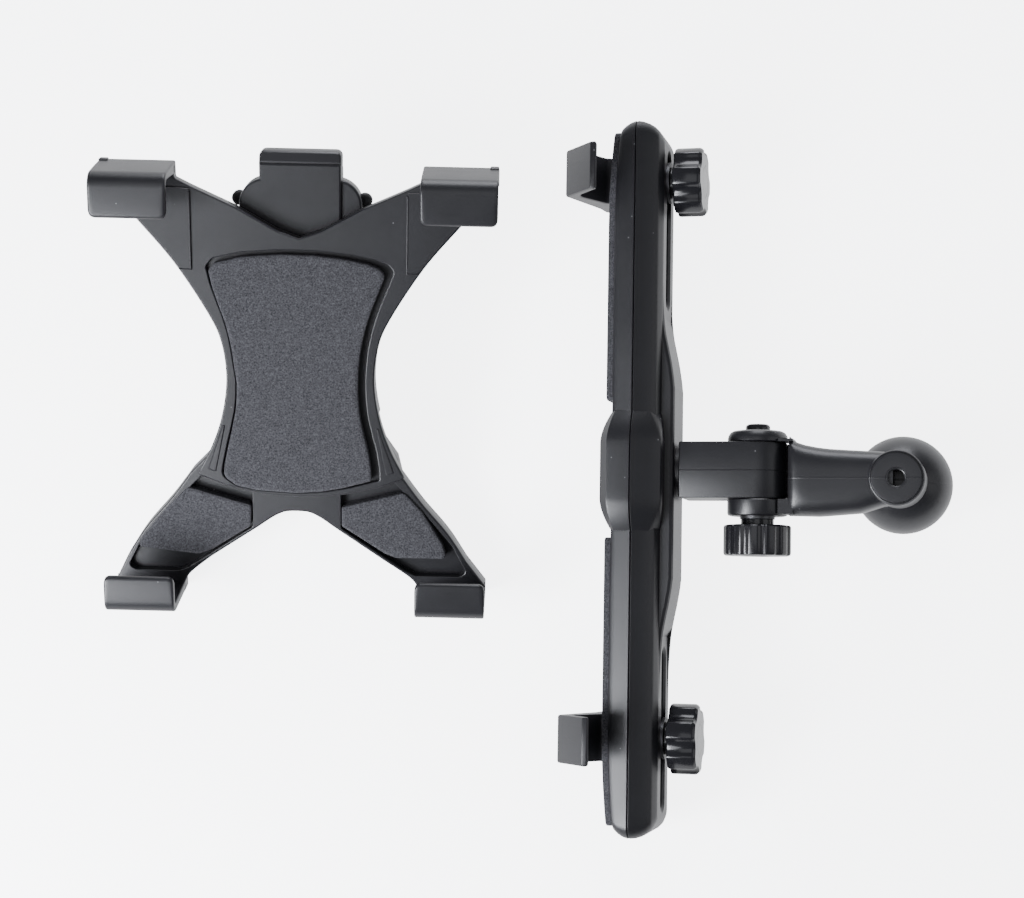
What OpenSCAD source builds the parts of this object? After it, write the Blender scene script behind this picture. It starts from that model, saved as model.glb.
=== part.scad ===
// Headrest tablet mount, shown unassembled as in the photograph: a sprung tablet cradle lying on its
// back, and the headrest bracket that carries its ball. Both halves are drawn in their own frame
// (x across, y up the photograph, z towards the camera) and then laid down on the table, z = 0.

/* [Cradle] */
// Distance between the outer edges of the two lower hooks
cradle_w = 108.6; // [96:0.2:124]
// How much further apart the upper hooks stand
top_spread = 1.8; // [0:0.2:6]
// Width of the upper hooks
upper_hook_w = 21; // [14:0.5:26]
// Width of the lower hooks
lower_hook_w = 20; // [14:0.5:26]
// Distance from the lower hooks' outer wall to the upper hooks' outer wall, closed
bay_l = 127; // [120:1:150]
// Depth of tablet that the hooks take
throat = 12.1; // [8:0.1:16]
// Thickness of the hooks' lips
lip_t = 2.4; // [1.8:0.1:3.2]
// How far the upper lips reach in over the tablet
upper_reach = 12.4; // [8:0.1:15]
// How far the lower lips reach in over the tablet
lower_reach = 11.4; // [8:0.1:15]
// Half width of the waist of the sliding plate
waist = 21; // [20.6:0.1:25]
// Thickness of the sliding plate
plate_t = 4; // [3:0.1:5]
// Depth of the rear body, which holds the springs
deck_t = 6.6; // [6.2:0.1:8]
// Half width of the rear body's tongue
tongue_w = 17.1; // [16.5:0.1:18.5]
// Travel of the sliding plate
travel = 50; // [30:1:50]
// How far the lower arms and their pads stand off centre
arm_slip = 1.8; // [0:0.1:3]
// How far the lower hooks stand off centre
hook_slip = 0.8; // [0:0.1:2]

/* [Pads] */
// Thickness of the foam pads on the lower arms
arm_pad_t = 1.8; // [1:0.1:2.5]
// Depth of the pocket that the middle pad sits in
pad_sink = 1.2; // [0.5:0.1:2]
// How far the middle pad stands out of the plate
pad_proud = 1.3; // [0.3:0.1:1.5]

/* [Ball joint] */
// Radius of the ball
ball_r = 14.3; // [12:0.1:15]
// Gap between the ball and its socket
ball_gap = 0.2; // [0.1:0.05:0.4]
// Wall of the socket's fingers
cup_wall = 2; // [1.6:0.1:3]
// Height of the socket's centre above the cradle's lower waist
socket_y = 29; // [26:0.5:34]
// Radius of the locking nut
nut_r = 20; // [19.2:0.1:22]
// How far the locking nut stands behind the cradle
nut_back = 23; // [21.5:0.5:26]

/* [Bar] */
// Length of the headrest bar
bar_l = 204.6; // [190:1:230]
// Width of the bar's face
bar_w = 30; // [26:0.5:34]
// Thickness of the bar
bar_t = 13.5; // [12:0.5:16]
// Thickness of the bar's front shell, up to the seam
front_t = 6.2; // [5:0.1:7]
// Wall of the two shells
shell_wall = 1.8; // [1.4:0.1:2.2]
// Thickness of the foam strips
strip_t = 1.8; // [1:0.1:2.5]
// Length of the swollen middle
swell_l = 33; // [28:1:40]
// Width of the swollen middle
swell_w = 36; // [34.5:0.5:40]

/* [Hooks] */
// Width of the headrest hooks
hook_w = 13.5; // [10.5:0.5:18]
// Thickness of the headrest hooks
hook_t = 3; // [2.4:0.1:3.6]
// Place of the upper hook along the bar
upper_at = 86.2; // [70:0.1:88]
// Place of the lower hook along the bar
lower_at = -74.7; // [-88:0.1:-62]
// Radius of the hooks' bolts and of the hinge bolt
bolt_r = 2.5; // [2:0.05:2.7]
// Radius of the hooks' knobs
knob_r = 10; // [9:0.1:11]
// Length of the knobs' grip
knob_l = 8.3; // [7:0.1:11]

/* [Arm] */
// Distance from the bar's face to the hinge
hinge_x = 40; // [36:0.5:48]
// Radius of the hinge barrel
barrel_r = 8.5; // [7.6:0.1:9.2]
// Width of the first arm
stem_w = 16.1; // [14:0.1:17]
// Thickness of the fork's upper ear
ear_t = 3.4; // [2.8:0.1:4]
// Thickness of the fork's lower ear
low_ear_t = 4.7; // [3.6:0.1:6]
// Distance from the hinge to the ball
reach = 39.5; // [36:0.5:48]
// Drop from the hinge to the ball's centre
ball_drop = 24.1; // [23:0.1:30]
// Radius of the arm's end disc
disc_r = 7.8; // [6.6:0.1:9]
// Radius of the hinge knob
hinge_knob_r = 9.6; // [8.4:0.1:11]

/* [Fits] */
// Gap between sliding or turning faces
gap = 0.3; // [0.2:0.05:0.4]
// Radial clearance of a bolt in its bore
fit = 0.05; // [0.02:0.01:0.09]

/* [Hidden] */
$fn = 64;

// Cradle levels, from its back towards the tablet
plate_z = deck_t + 0.4;
face_z = plate_z + plate_t;
lip_in = face_z + throat;
lip_z = lip_in + lip_t;
low_y = -47.2;
high_y = low_y + bay_l;
top_w = cradle_w + top_spread;
bend_r = 4;
cover_t = 1.6;
hook_in = top_w/2 - upper_hook_w;
low_hook_in = cradle_w/2 - lower_hook_w;
// Guide bosses and springs run in two channels in the rear body
rail_x = 7;
rail_y = 5;
boss_r = 2;
channel_w = 3.4;
channel_top = rail_y + travel + 22.5;
skin_t = 1.2;
washer_z = deck_t - skin_t - gap - 0.5;
spring_r = 2.2;
wire_r = 0.32;
turns = 15;
// Socket and nut
cup_r = ball_r + ball_gap + cup_wall;
ball_z = -(nut_back - 5.5);
cup_end = 1.9;
// The cradle rests on its lower end and on the nut's rim
cradle_tilt = atan2(nut_back, socket_y - nut_r - low_y + 0.2);
cradle_at = [-66.3, 12.6, (-low_y + 0.2)*sin(cradle_tilt)];
cradle_turn = -1.4;
bracket_turn = -1;

// Bar: x from its foam face outwards
bar_x = strip_t + 1.7;
back_x = bar_x + bar_t;
seam_x = bar_x + front_t;
flat_z = 7;
swell_y = 1;
swell_x = bar_x - 3;
swell_back = back_x + 1;
hump_l = 85;
hump_y = -1.5;
hump_x = back_x + 3.6;
slot_r = bolt_r + gap;
slot_in = hump_y + hump_l/2 + knob_r + 1;
slot_out = bar_l/2 - 10;
hinge_at = bar_x + hinge_x;
stem_y = 1.75;
ear_hi = stem_y + stem_w/2 + 0.1;
ear_lo = stem_y - stem_w/2 - 0.1;
ball_x = hinge_at + reach;
ball_y = -0.6;
disc_z = barrel_r + 1;
head_r = bolt_r + 1;
washer_t = 0.9;
knob_x = back_x + washer_t;
hub_l = 1.4;
nut_t = 4;
nut_af = bolt_r*3.2;
pitch = 0.8;
clamp_travel = 4;
// The bracket rests on the swell's edge and on the ball
floor_x = ball_x - swell_x;
floor_z = ball_drop - swell_w/2;
bracket_tilt = asin(ball_r/sqrt(floor_x*floor_x + floor_z*floor_z)) + atan2(floor_z, floor_x);
bracket_at = [22, 0.2, -(swell_x*sin(bracket_tilt) - swell_w/2*cos(bracket_tilt))];

plastic = "#2b2b30";
gloss = "#232328";
foam = "#55555b";
steel = "#b9bcc2";
rubber = "#151517";

module cradle() translate(cradle_at) rotate([cradle_tilt, 0, cradle_turn]) children();
module bracket() translate(bracket_at) rotate([0, -bracket_tilt, bracket_turn]) children();
module both() { children(); mirror([1, 0, 0]) children(); }
module along_x() rotate([0, 90, 0]) children();
module along_y() rotate([-90, 0, 0]) children();
// An outline in the x-z plane drawn out along y, centred on y = 0
module section(length) translate([0, length/2, 0]) rotate([90, 0, 0]) linear_extrude(length) children();
// An outline in the y-z plane drawn out along x, from x = 0
module side(length) rotate([90, 0, 90]) linear_extrude(length) children();

function unit(v) = v/norm(v);
function turn_of(v) = atan2(v[1], v[0]);
function wrap(a) = a > 180 ? a - 360 : a < -180 ? a + 360 : a;
// The corner b between a and c, rounded to radius r and kept inside its two edges
function corner(a, b, c, r, n = 5) = let(
        u = unit(a - b), v = unit(c - b),
        half = acos(max(-0.9999, min(0.9999, u*v)))/2,
        t = min(r/tan(half), 0.48*norm(a - b), 0.48*norm(c - b)),
        q = t*tan(half),
        m = b + unit(u + v)*q/sin(half),
        from = turn_of(b + u*t - m), swing = wrap(turn_of(b + v*t - m) - from))
    half > 89.5 ? [b] : [for (i = [0:n]) m + q*[cos(from + swing*i/n), sin(from + swing*i/n)]];
function rounded(p, r) = let(k = len(p)) [for (i = [0:k - 1]) each
    corner(p[(i + k - 1) % k], p[i], p[(i + 1) % k], is_list(r) ? r[i] : r)];
// A smooth line through points, n steps between each pair
function at(p, i) = p[max(0, min(len(p) - 1, i))];
function smooth(p, n = 4) = [for (i = [0:len(p) - 2], j = [0:n - 1]) let(s = j/n,
    a = at(p, i - 1), b = p[i], c = p[i + 1], d = at(p, i + 2))
    (2*b + (c - a)*s + (2*a - 5*b + 4*c - d)*s*s + (3*b - a - 3*c + d)*s*s*s)/2];
function mirrored(p) = [for (i = [len(p) - 1:-1:0]) [-p[i][0], p[i][1]]];

// Outline of the sliding plate: its waisted side, then the hook and the V at its top
waist_side = smooth([[waist + 8.9, -9.2], [waist + 4.8, -1.2], [waist + 1.6, 8], [waist, 19],
    [waist + 1.1, 29.5], [waist + 4.6, 38], [waist + 13.8, 52.5], [top_w/2 - 11, high_y - 16]]);
plate_half = concat([[0, -17.2], [7, -16.9], [13, -15.9], [22, -12.9]], waist_side,
    [[top_w/2, high_y - 3.5], [top_w/2, high_y], [hook_in, high_y], [hook_in, high_y - 3.4],
     [hook_in - 4.5, high_y - 5.6], [17.5, high_y - 11.1], [6, high_y - 17.5], [2.5, high_y - 19.2]]);
plate_outline = concat(plate_half, mirrored([for (i = [1:len(plate_half) - 1]) plate_half[i]]));
pad_half = concat([[0, -15.3], [7, -15], [12.5, -14.1], [18.5, -12.1]],
    smooth([[21.5, -9.8], [22, -7], [20.2, 0.5], [19, 8], [18.5, 19.8], [19.6, 30], [21.2, 38], [22.6, 43.5],
        [24.2, 50.2]]), [[23.2, 52.6], [17.5, 54.4], [9, 55.7]]);
pad_outline = concat(pad_half, [[0, 56.1]], mirrored([for (i = [1:len(pad_half) - 1]) pad_half[i]]));
tab_w = 11.4;
shoulder_r = 7.5;
// Outline of the rear body: the notch, the lower arms, then the tongue
arm_edge = smooth([[cradle_w/2, -43.4], [cradle_w/2 - 4.6, -36], [cradle_w/2 - 10.2, -27.3],
    [cradle_w/2 - 17.8, -18.2], [waist + 9.4, -9.8]]);
notch = smooth([[0, -21.4], [3.5, -21.7], [7, -23.4], [11.5, -26.6], [18.5, -31.4], [27, -37.3],
    [low_hook_in - 1.8, -41.6], [low_hook_in, -44.6]]);
body_half = concat(notch, [[low_hook_in, -44.6], [low_hook_in, low_y], [cradle_w/2, low_y]],
    arm_edge, [[waist + 6.4, -4.8], [waist + 1.4, 2.5], [tongue_w, 10]],
    [[tongue_w, 12]], [for (a = [0:12.5:75]) [tongue_w - shoulder_r*(1 - cos(a)), 68.6 + shoulder_r*sin(a)]],
    rounded([[tab_w, 76.2], [tab_w, 83.6], [0, 83.8]], [0.1, 1.4, 0.1]));
function slip(y) = y > -8 ? 0 : y > -36 ? arm_slip : max(hook_slip, arm_slip + (y + 36)*(arm_slip - hook_slip)/7);
body_outline = [for (q = concat(body_half, mirrored([for (i = [1:len(body_half) - 2]) body_half[i]])))
    [q[0] - slip(q[1]), q[1]]];

// A cradle hook in the y-z plane, with its wall's outer face at y = 0 and its lip reaching to -y
module hook_section(foot, lean, reach) polygon(concat(
    [[lean, foot], [lean/2, lip_z - bend_r - 6]],
    [for (a = [0:15:90]) [-bend_r + bend_r*cos(a), lip_z - bend_r + bend_r*sin(a)]],
    [[-reach, lip_z], [-reach - 0.3, lip_z - lip_t/2], [-reach, lip_in]],
    [for (a = [90:-15:0]) [-bend_r + (bend_r - lip_t)*cos(a), lip_z - bend_r + (bend_r - lip_t)*sin(a)]],
    [[-lip_t - 0.3, foot]]));

module rear_body() color(plastic) cradle() difference() {
    union() {
        linear_extrude(deck_t - 1.1) polygon(body_outline);
        // the arms' faces and the tongue's raised middle stand at full depth
        intersection() {
            linear_extrude(deck_t) polygon(body_outline);
            union() {
                translate([-cradle_w, low_y - 1, 0]) cube([2*cradle_w, 58, deck_t]);
                translate([-tab_w, 50, 0]) cube([2*tab_w, 31.8, deck_t]);
            }
        }
        translate([-hook_slip, 0, 0]) both() translate([low_hook_in, low_y, 0]) mirror([0, 1, 0])
            side(lower_hook_w) hook_section(0, 0.2, lower_reach);
    }
    // spring channels, open to the back, with a slot in their floor for the guide bosses
    both() {
        translate([rail_x - channel_w, rail_y - channel_w, -1])
            cube([2*channel_w, channel_top - rail_y + channel_w, deck_t - skin_t + 1]);
        translate([rail_x, rail_y, -1]) cylinder(h = deck_t + 2, r = boss_r + gap);
        translate([rail_x - boss_r - gap, rail_y, 0]) cube([2*(boss_r + gap), travel, deck_t + 1]);
        translate([rail_x, rail_y + travel, -1]) cylinder(h = deck_t + 2, r = boss_r + gap);
        for (y = cover_screw_y) translate([cover_screw_x, y, -1]) cylinder(h = 5.5, r = 0.9);
        translate([tongue_w + 0.5, 69.6, -1]) cylinder(h = 3.8, r = 2.1);
    }
    // the lower arms are cored out behind, leaving their walls
    translate([-hook_slip - 0.5, 0, -1]) both() linear_extrude(deck_t - 1.2) polygon(rounded([
        [cradle_w/2 - 26, -27], [cradle_w/2 - 20.5, -19], [cradle_w/2 - 12.5, -28.5],
        [cradle_w/2 - 7.5, -37], [cradle_w/2 - 3, low_y + 3], [low_hook_in + 3, low_y + 3],
        [low_hook_in - 2.5, -38.6]], 1.2));
}

cover_screw_x = 13.6;
cover_screw_y = [-7, 62];
module rear_cover() color(plastic) cradle() difference() {
    union() {
        translate([0, 0, -cover_t]) linear_extrude(cover_t) polygon(rounded([[16, -13], [16, 65.5],
            [11.3, 72.2], [11.3, 80], [-11.3, 80], [-11.3, 72.2], [-16, 65.5], [-16, -13]],
            [4, 3, 1, 2, 2, 1, 3, 4]));
        translate([0, socket_y, -6]) cylinder(h = 6 - cover_t/2, r = cup_r + 0.9);
        translate([0, socket_y, cup_end - nut_back + 1.1])
            cylinder(h = nut_back - cup_end - 1.1 - cover_t, r = cup_r);
        translate([0, socket_y, cup_end - nut_back]) cylinder(h = 1.1, r1 = cup_r - 1, r2 = cup_r);
    }
    translate([0, socket_y, ball_z]) sphere(r = ball_r + ball_gap);
    translate([0, socket_y, ball_z - 5]) cylinder(h = 5, r = ball_r - 0.4);
    for (a = [45, 135]) translate([0, socket_y, 0]) rotate(a)
        translate([-nut_r, -1, ball_z - 5]) cube([2*nut_r, 2, 13]);
    both() for (y = cover_screw_y) translate([cover_screw_x, y, -cover_t - 1])
        cylinder(h = cover_t + 2, r = 1.3);
}

module cover_screws() color(steel) cradle() both() for (y = cover_screw_y)
    translate([cover_screw_x, y, -cover_t]) {
        cylinder(h = 5.6, r = 0.88);
        difference() {
            translate([0, 0, -1]) cylinder(h = 1, r1 = 1.5, r2 = 2.1);
            translate([-1.4, -0.25, -1.1]) cube([2.8, 0.5, 0.6]);
            translate([-0.25, -1.4, -1.1]) cube([0.5, 2.8, 0.6]);
        }
    }

module front_plate() color(plastic) cradle() difference() {
    union() {
        translate([0, 0, plate_z]) linear_extrude(plate_t) polygon(plate_outline);
        both() {
            // the hooks, and the raised field at the root of each
            translate([hook_in, high_y, 0]) side(upper_hook_w) hook_section(plate_z, 0.8, upper_reach);
            translate([top_w/2 - 2.4, high_y - 1, plate_z]) cube([2.4, 2.2, 2.6]);
            intersection() {
                translate([0, 0, plate_z]) linear_extrude(plate_t + 0.7) polygon(plate_outline);
                translate([hook_in - 4.1, high_y - 28.8, plate_z]) cube([40, 24.5, plate_t + 1]);
            }
            // the skirt that hides the gap at the sides, and the guide rib inside it
            translate([0, 0, 3]) linear_extrude(plate_z - 2) polygon(concat(
                skirt, [for (i = [len(skirt) - 1:-1:0]) [skirt[i][0] - 1.6, skirt[i][1]]]));
            translate([tongue_w + gap, 12, 3.1]) cube([1.4, 44, plate_z - 3]);
            translate([rail_x, rail_y, washer_z + 0.5]) cylinder(h = plate_z - washer_z, r = boss_r);
        }
    }
    translate([0, 0, face_z - pad_sink]) linear_extrude(pad_sink + 1) polygon(pad_pocket);
    both() translate([rail_x, rail_y, 0]) cylinder(h = plate_z + 1, r = 0.9);
}
skirt = [for (q = waist_side) if (q[1] > 9 && q[1] < 58) q];
pad_pocket = [for (q = pad_outline) [q[0]*(1 + 0.8/22), 20 + (q[1] - 20)*(1 + 0.8/36)]];

module guide_washers() color(steel) cradle() both() translate([rail_x, rail_y, washer_z]) difference() {
    cylinder(h = 0.5, r = channel_w - gap);
    translate([0, 0, -1]) cylinder(h = 3, r = 1);
}

module guide_screws() color(steel) cradle() both() translate([rail_x, rail_y, 0]) {
    translate([0, 0, 1]) cylinder(h = washer_z - 1, r = boss_r);
    translate([0, 0, 1]) cylinder(h = plate_z - 0.4, r = 0.88);
}

// A round wire along a helix of radius rad, from y = 0 to y = len
module coil(rad, wire, count, len) {
    steps = 10;
    sides = 6;
    n = count*steps;
    points = [for (i = [0:n], j = [0:sides - 1]) let(a = 360*i/steps, b = 360*j/sides)
        [(rad + wire*cos(b))*cos(a), wire + (len - 2*wire)*i/n + wire*sin(b), (rad + wire*cos(b))*sin(a)]];
    faces = concat([for (j = [1:sides - 2]) [0, j, j + 1]],
        [for (i = [0:n - 1], j = [0:sides - 1], h = [0, 1]) let(k = (j + 1) % sides, a = i*sides, b = a + sides)
            h == 0 ? [a + j, b + j, b + k] : [a + j, b + k, a + k]],
        [for (j = [1:sides - 2]) [n*sides, n*sides + j + 1, n*sides + j]]);
    polyhedron(points, faces, 6);
}
module return_springs() color(steel) cradle() both() translate([rail_x, rail_y + boss_r + gap, 2.75])
    coil(spring_r, wire_r, turns, channel_top - rail_y - boss_r - 2*gap);

module centre_pad() color(foam) cradle() translate([0, 0, face_z - pad_sink])
    linear_extrude(pad_sink + pad_proud) polygon(pad_outline);
arm_pad = rounded([[13.5, -19.3], [15, -19.4], [31.2, -14.8], [38, -20.5], [45.3, -30.5], [45.3, -34.6],
    [29, -34.9], [26, -34], [13.5, -25.6]], [1.2, 1.2, 1.5, 8, 3, 1.2, 3, 3, 1.5]);
module left_pad() color(foam) cradle() translate([-arm_slip, 0, deck_t])
    mirror([1, 0, 0]) linear_extrude(arm_pad_t) polygon(arm_pad);
module right_pad() color(foam) cradle() translate([-arm_slip, 0, deck_t])
    linear_extrude(arm_pad_t) polygon(arm_pad);

module side_bumpers() color(rubber) cradle() both() translate([tongue_w + 0.5, 69.6, 0])
    cylinder(h = 2.8, r = 2.1);

module locking_nut() color(gloss) cradle() translate([0, socket_y, -nut_back]) difference() {
    union() {
        translate([0, 0, 1]) cylinder(h = 13, r = nut_r);
        cylinder(h = 1, r1 = nut_r - 1, r2 = nut_r);
    }
    translate([0, 0, cup_end - gap + 1.1]) cylinder(h = 20, r = cup_r + fit);
    translate([0, 0, -1]) cylinder(h = 20, r = ball_r + 0.5);
    translate([0, 0, cup_end - gap]) cylinder(h = 1.11, r1 = cup_r - 1 + fit, r2 = cup_r + fit);
    for (i = [0:23]) rotate(i*15) translate([nut_r + 0.9, 0, 2.2]) cylinder(h = 20, r = 1.6, $fn = 24);
}

// Bar outlines: seen from the side (x-y) and end on (x-z)
bar_side = rounded([[bar_x, bar_l/2 - 8], [bar_x + 0.8, bar_l/2 - 3], [bar_x + 3, bar_l/2 - 0.3],
    [seam_x + 1.3, bar_l/2], [back_x - 2, bar_l/2 - 1.3], [back_x, bar_l/2 - 4.5],
    [back_x, -bar_l/2 + 4.5], [back_x - 2, -bar_l/2 + 1.3], [seam_x + 1.3, -bar_l/2],
    [bar_x + 3, -bar_l/2 + 0.3], [bar_x + 0.8, -bar_l/2 + 3], [bar_x, -bar_l/2 + 8]], 3);
function bar_end(d) = rounded([[bar_x + d, -bar_w/2 + d], [seam_x, -bar_w/2 + d],
    [back_x - 2.5, -bar_w/2 + 2.5 + d], [back_x - d, -flat_z - 1.4], [back_x - d, flat_z + 1.4],
    [back_x - 2.5, bar_w/2 - 2.5 - d], [seam_x, bar_w/2 - d], [bar_x + d, bar_w/2 - d]],
    [1.5, 3, 3, 1.5, 1.5, 3, 3, 1.5]);
module bar_solid() intersection() {
    translate([0, 0, -bar_w]) linear_extrude(2*bar_w) polygon(bar_side);
    section(bar_l + 2) polygon(bar_end(0));
}
module bar_hollow() section(bar_l - 2*shell_wall - 3) polygon(bar_end(shell_wall));
module swell_solid(d) translate([0, swell_y, 0]) intersection() {
    translate([0, 0, -swell_w]) linear_extrude(2*swell_w) polygon(rounded([
        [swell_x + d, -swell_l/2 + 3.5 + d], [swell_x + 2.4, -swell_l/2 + d], [swell_back - 2, -swell_l/2 + d],
        [swell_back - d, -swell_l/2 + 2 + d], [swell_back - d, swell_l/2 - 2 - d],
        [swell_back - 2, swell_l/2 - d], [swell_x + 2.4, swell_l/2 - d],
        [swell_x + d, swell_l/2 - 3.5 - d]], 2));
    section(swell_l + 2) polygon(rounded([[swell_x + d, -swell_w/2 + d], [seam_x, -swell_w/2 + d],
        [swell_back - d, -swell_w/2 + 5 + d], [swell_back - d, swell_w/2 - 5 - d],
        [seam_x, swell_w/2 - d], [swell_x + d, swell_w/2 - d]], [0.4, 4, 3, 3, 4, 2.2]));
}
module hump_solid(d) translate([0, hump_y, -8.5 + d]) linear_extrude(17 - 2*d) polygon([
    [back_x - 3, -hump_l/2 + d], [back_x, -hump_l/2 + d], [hump_x - d, -hump_l/2 + 16 + d],
    [hump_x - d, hump_l/2 - 16 - d], [back_x, hump_l/2 - d], [back_x - 3, hump_l/2 - d]]);
// The two slots that the hook bolts run in: a hole at each end and the gap between
module slot(r) for (s = [1, -1]) {
    for (y = [slot_in, slot_out]) translate([bar_x - 5, s*y, 0]) along_x() cylinder(h = bar_t + 10, r = r);
    translate([bar_x - 5, s > 0 ? slot_in : -slot_out, -r]) cube([bar_t + 10, slot_out - slot_in, 2*r]);
}
module slot_wall() intersection() { bar_solid(); slot(slot_r + 1.6); }
// The two shells are screwed together from the front face, under the foam strips
screw_end = bar_l/2 - 8.3;
shell_screw_at = [for (y = [-screw_end, hump_y - 33.5, hump_y + 33.5, screw_end]) for (z = [-10, 10]) [y, z]];
module front_half() translate([swell_x - 5, -bar_l, -bar_w]) cube([seam_x - swell_x + 5, 2*bar_l, 2*bar_w]);
module rear_half() translate([seam_x, -bar_l, -bar_w]) cube([60, 2*bar_l, 2*bar_w]);

module front_shell() color(plastic) bracket() difference() {
    intersection() {
        front_half();
        union() {
            difference() {
                union() { bar_solid(); swell_solid(0); }
                bar_hollow();
                swell_solid(shell_wall);
            }
            slot_wall();
            for (p = shell_screw_at) translate([bar_x, p[0], p[1]]) along_x() cylinder(h = bar_t, r = 3.4);
        }
    }
    slot(slot_r);
    for (p = shell_screw_at) translate([bar_x - 1, p[0], p[1]]) along_x() {
        cylinder(h = 20, r = 1.5);
        cylinder(h = 2.9, r = 2.4);
    }
}

module rear_shell() color(plastic) bracket() difference() {
    intersection() {
        rear_half();
        union() {
            difference() {
                union() { bar_solid(); swell_solid(0); hump_solid(0); }
                bar_hollow();
                swell_solid(shell_wall);
                hump_solid(shell_wall);
            }
            slot_wall();
            for (p = shell_screw_at) intersection() {
                union() { bar_solid(); swell_solid(0); }
                translate([seam_x, p[0], p[1]]) along_x() cylinder(h = bar_t, r = 2.6);
            }
        }
    }
    slot(slot_r);
    translate([seam_x - 1, stem_y, 0]) along_x() cylinder(h = 30, r = 7.2);
    for (p = shell_screw_at) translate([seam_x - 1, p[0], p[1]]) along_x() cylinder(h = 5.2, r = 1.1);
}

module shell_screws() color(steel) bracket() for (p = shell_screw_at)
    translate([bar_x + 0.5, p[0], p[1]]) along_x() {
        translate([0, 0, 1]) cylinder(h = seam_x + 2.2 - bar_x, r = 1.08);
        difference() {
            cylinder(h = 1.4, r1 = 1.9, r2 = 2.2);
            translate([-0.3, -1.3, -0.4]) cube([0.6, 2.6, 1]);
            translate([-1.3, -0.3, -0.4]) cube([2.6, 0.6, 1]);
        }
    }

// A foam strip on the bar's face, with a slot for the hook bolt
module foam_strip(low, high, s) color(foam) bracket() difference() {
    translate([bar_x - strip_t, 0, 0]) along_x() linear_extrude(strip_t) polygon(rounded([
        [-bar_w/2 + 2, low], [bar_w/2 - 2, low], [bar_w/2 - 2, high], [-bar_w/2 + 2, high]], 1.5));
    for (y = [slot_in, slot_out]) translate([bar_x - 5, s*y, 0]) along_x() cylinder(h = 10, r = slot_r + 0.6);
    translate([bar_x - 5, s > 0 ? slot_in : -slot_out, -slot_r - 0.6])
        cube([10, slot_out - slot_in, 2*slot_r + 1.2]);
}
module upper_foam_strip() foam_strip(21.2, bar_l/2 - 3.4, 1);
module lower_foam_strip() foam_strip(-bar_l/2 + 3.4, -17.8, -1);

// The first arm: its flange is held between the shells, its barrel is the middle of the hinge
flange_x = swell_back - shell_wall - 2.4;
module stem_arm() color(plastic) bracket() difference() {
    union() {
        translate([flange_x, stem_y, 0]) along_x() cylinder(h = 2.4, r = 10);
        translate([flange_x, stem_y, 0]) along_x() cylinder(h = hump_x + 1.5 - flange_x, r = 6.9);
        translate([hump_x + 1, stem_y - stem_w/2, -barrel_r])
            cube([hinge_at - hump_x - 1, stem_w, 2*barrel_r]);
        translate([hinge_at, stem_y - stem_w/2, 0]) along_y() cylinder(h = stem_w, r = barrel_r);
    }
    translate([hinge_at, stem_y - stem_w, 0]) along_y() cylinder(h = 2*stem_w, r = bolt_r + fit);
    translate([hump_x + 12, stem_y - stem_w/2 - 1, -1.9]) cube([5, 2.2, 0.9]);
    translate([hump_x + 12, stem_y - stem_w/2 - 1, 1.2]) cube([5, 2.2, 0.9]);
}

// The second arm in one moulding: fork, web, end disc and ball
web_outline = rounded([[hinge_at, ear_lo - low_ear_t], [hinge_at + 10, ear_lo - low_ear_t],
    [hinge_at + 18, ear_lo - low_ear_t - 0.2], [hinge_at + 29.5, ear_lo - low_ear_t + 0.8],
    [ball_x - 4, ball_y - disc_r + 0.4], [ball_x - 4, ball_y + disc_r - 0.4], [hinge_at + 32, 7.4],
    [hinge_at + 17.5, 8.2], [hinge_at + 13, 8.9], [hinge_at + 9.6, ear_hi + ear_t - 2.4],
    [hinge_at + 8, ear_hi + ear_t], [hinge_at, ear_hi + ear_t]], 1.5);
module ball_arm() color(gloss) bracket() difference() {
    union() {
        translate([hinge_at, ear_hi, 0]) along_y() cylinder(h = ear_t, r = barrel_r + 0.1);
        translate([hinge_at, ear_lo - low_ear_t, 0]) along_y() cylinder(h = low_ear_t, r = barrel_r + 0.1);
        translate([0, 0, -2]) linear_extrude(barrel_r + 2) polygon(web_outline);
        translate([ball_x, ball_y, -6]) cylinder(h = disc_z + 6, r = disc_r);
        translate([ball_x, ball_y, -ball_drop + ball_r - 1]) cylinder(h = 10, r1 = 5.6, r2 = disc_r);
        translate([ball_x, ball_y, -ball_drop]) sphere(r = ball_r);
    }
    translate([hinge_at, ear_lo, 0]) along_y() cylinder(h = ear_hi - ear_lo, r = barrel_r + 0.6);
    translate([hinge_at - barrel_r - 0.6, ear_lo, -3])
        cube([2*(barrel_r + 0.6), ear_hi - ear_lo, barrel_r + 4]);
    translate([hinge_at, ear_lo - 20, 0]) along_y() cylinder(h = 60, r = bolt_r + fit);
    translate([ball_x, ball_y, disc_z - 9]) cylinder(h = 10, r = 2.3);
}

module hinge_bolt() color(gloss) bracket() {
    translate([hinge_at, -20.6, 0]) along_y() cylinder(h = 20.6 + ear_hi + ear_t + 0.5, r = bolt_r);
    translate([hinge_at, ear_hi + ear_t, 0]) along_y() cylinder(h = 1.4, r = head_r);
    translate([hinge_at, ear_hi + ear_t + 1.4, 0]) along_y() cylinder(h = 0.6, r1 = head_r, r2 = head_r - 0.6);
}
hub_y = ear_lo - low_ear_t - 0.8;
module hinge_washer() color(steel) bracket() translate([hinge_at, hub_y, 0]) along_y() difference() {
    cylinder(h = 0.8, r = 5);
    translate([0, 0, -1]) cylinder(h = 3, r = bolt_r + fit);
}

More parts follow.
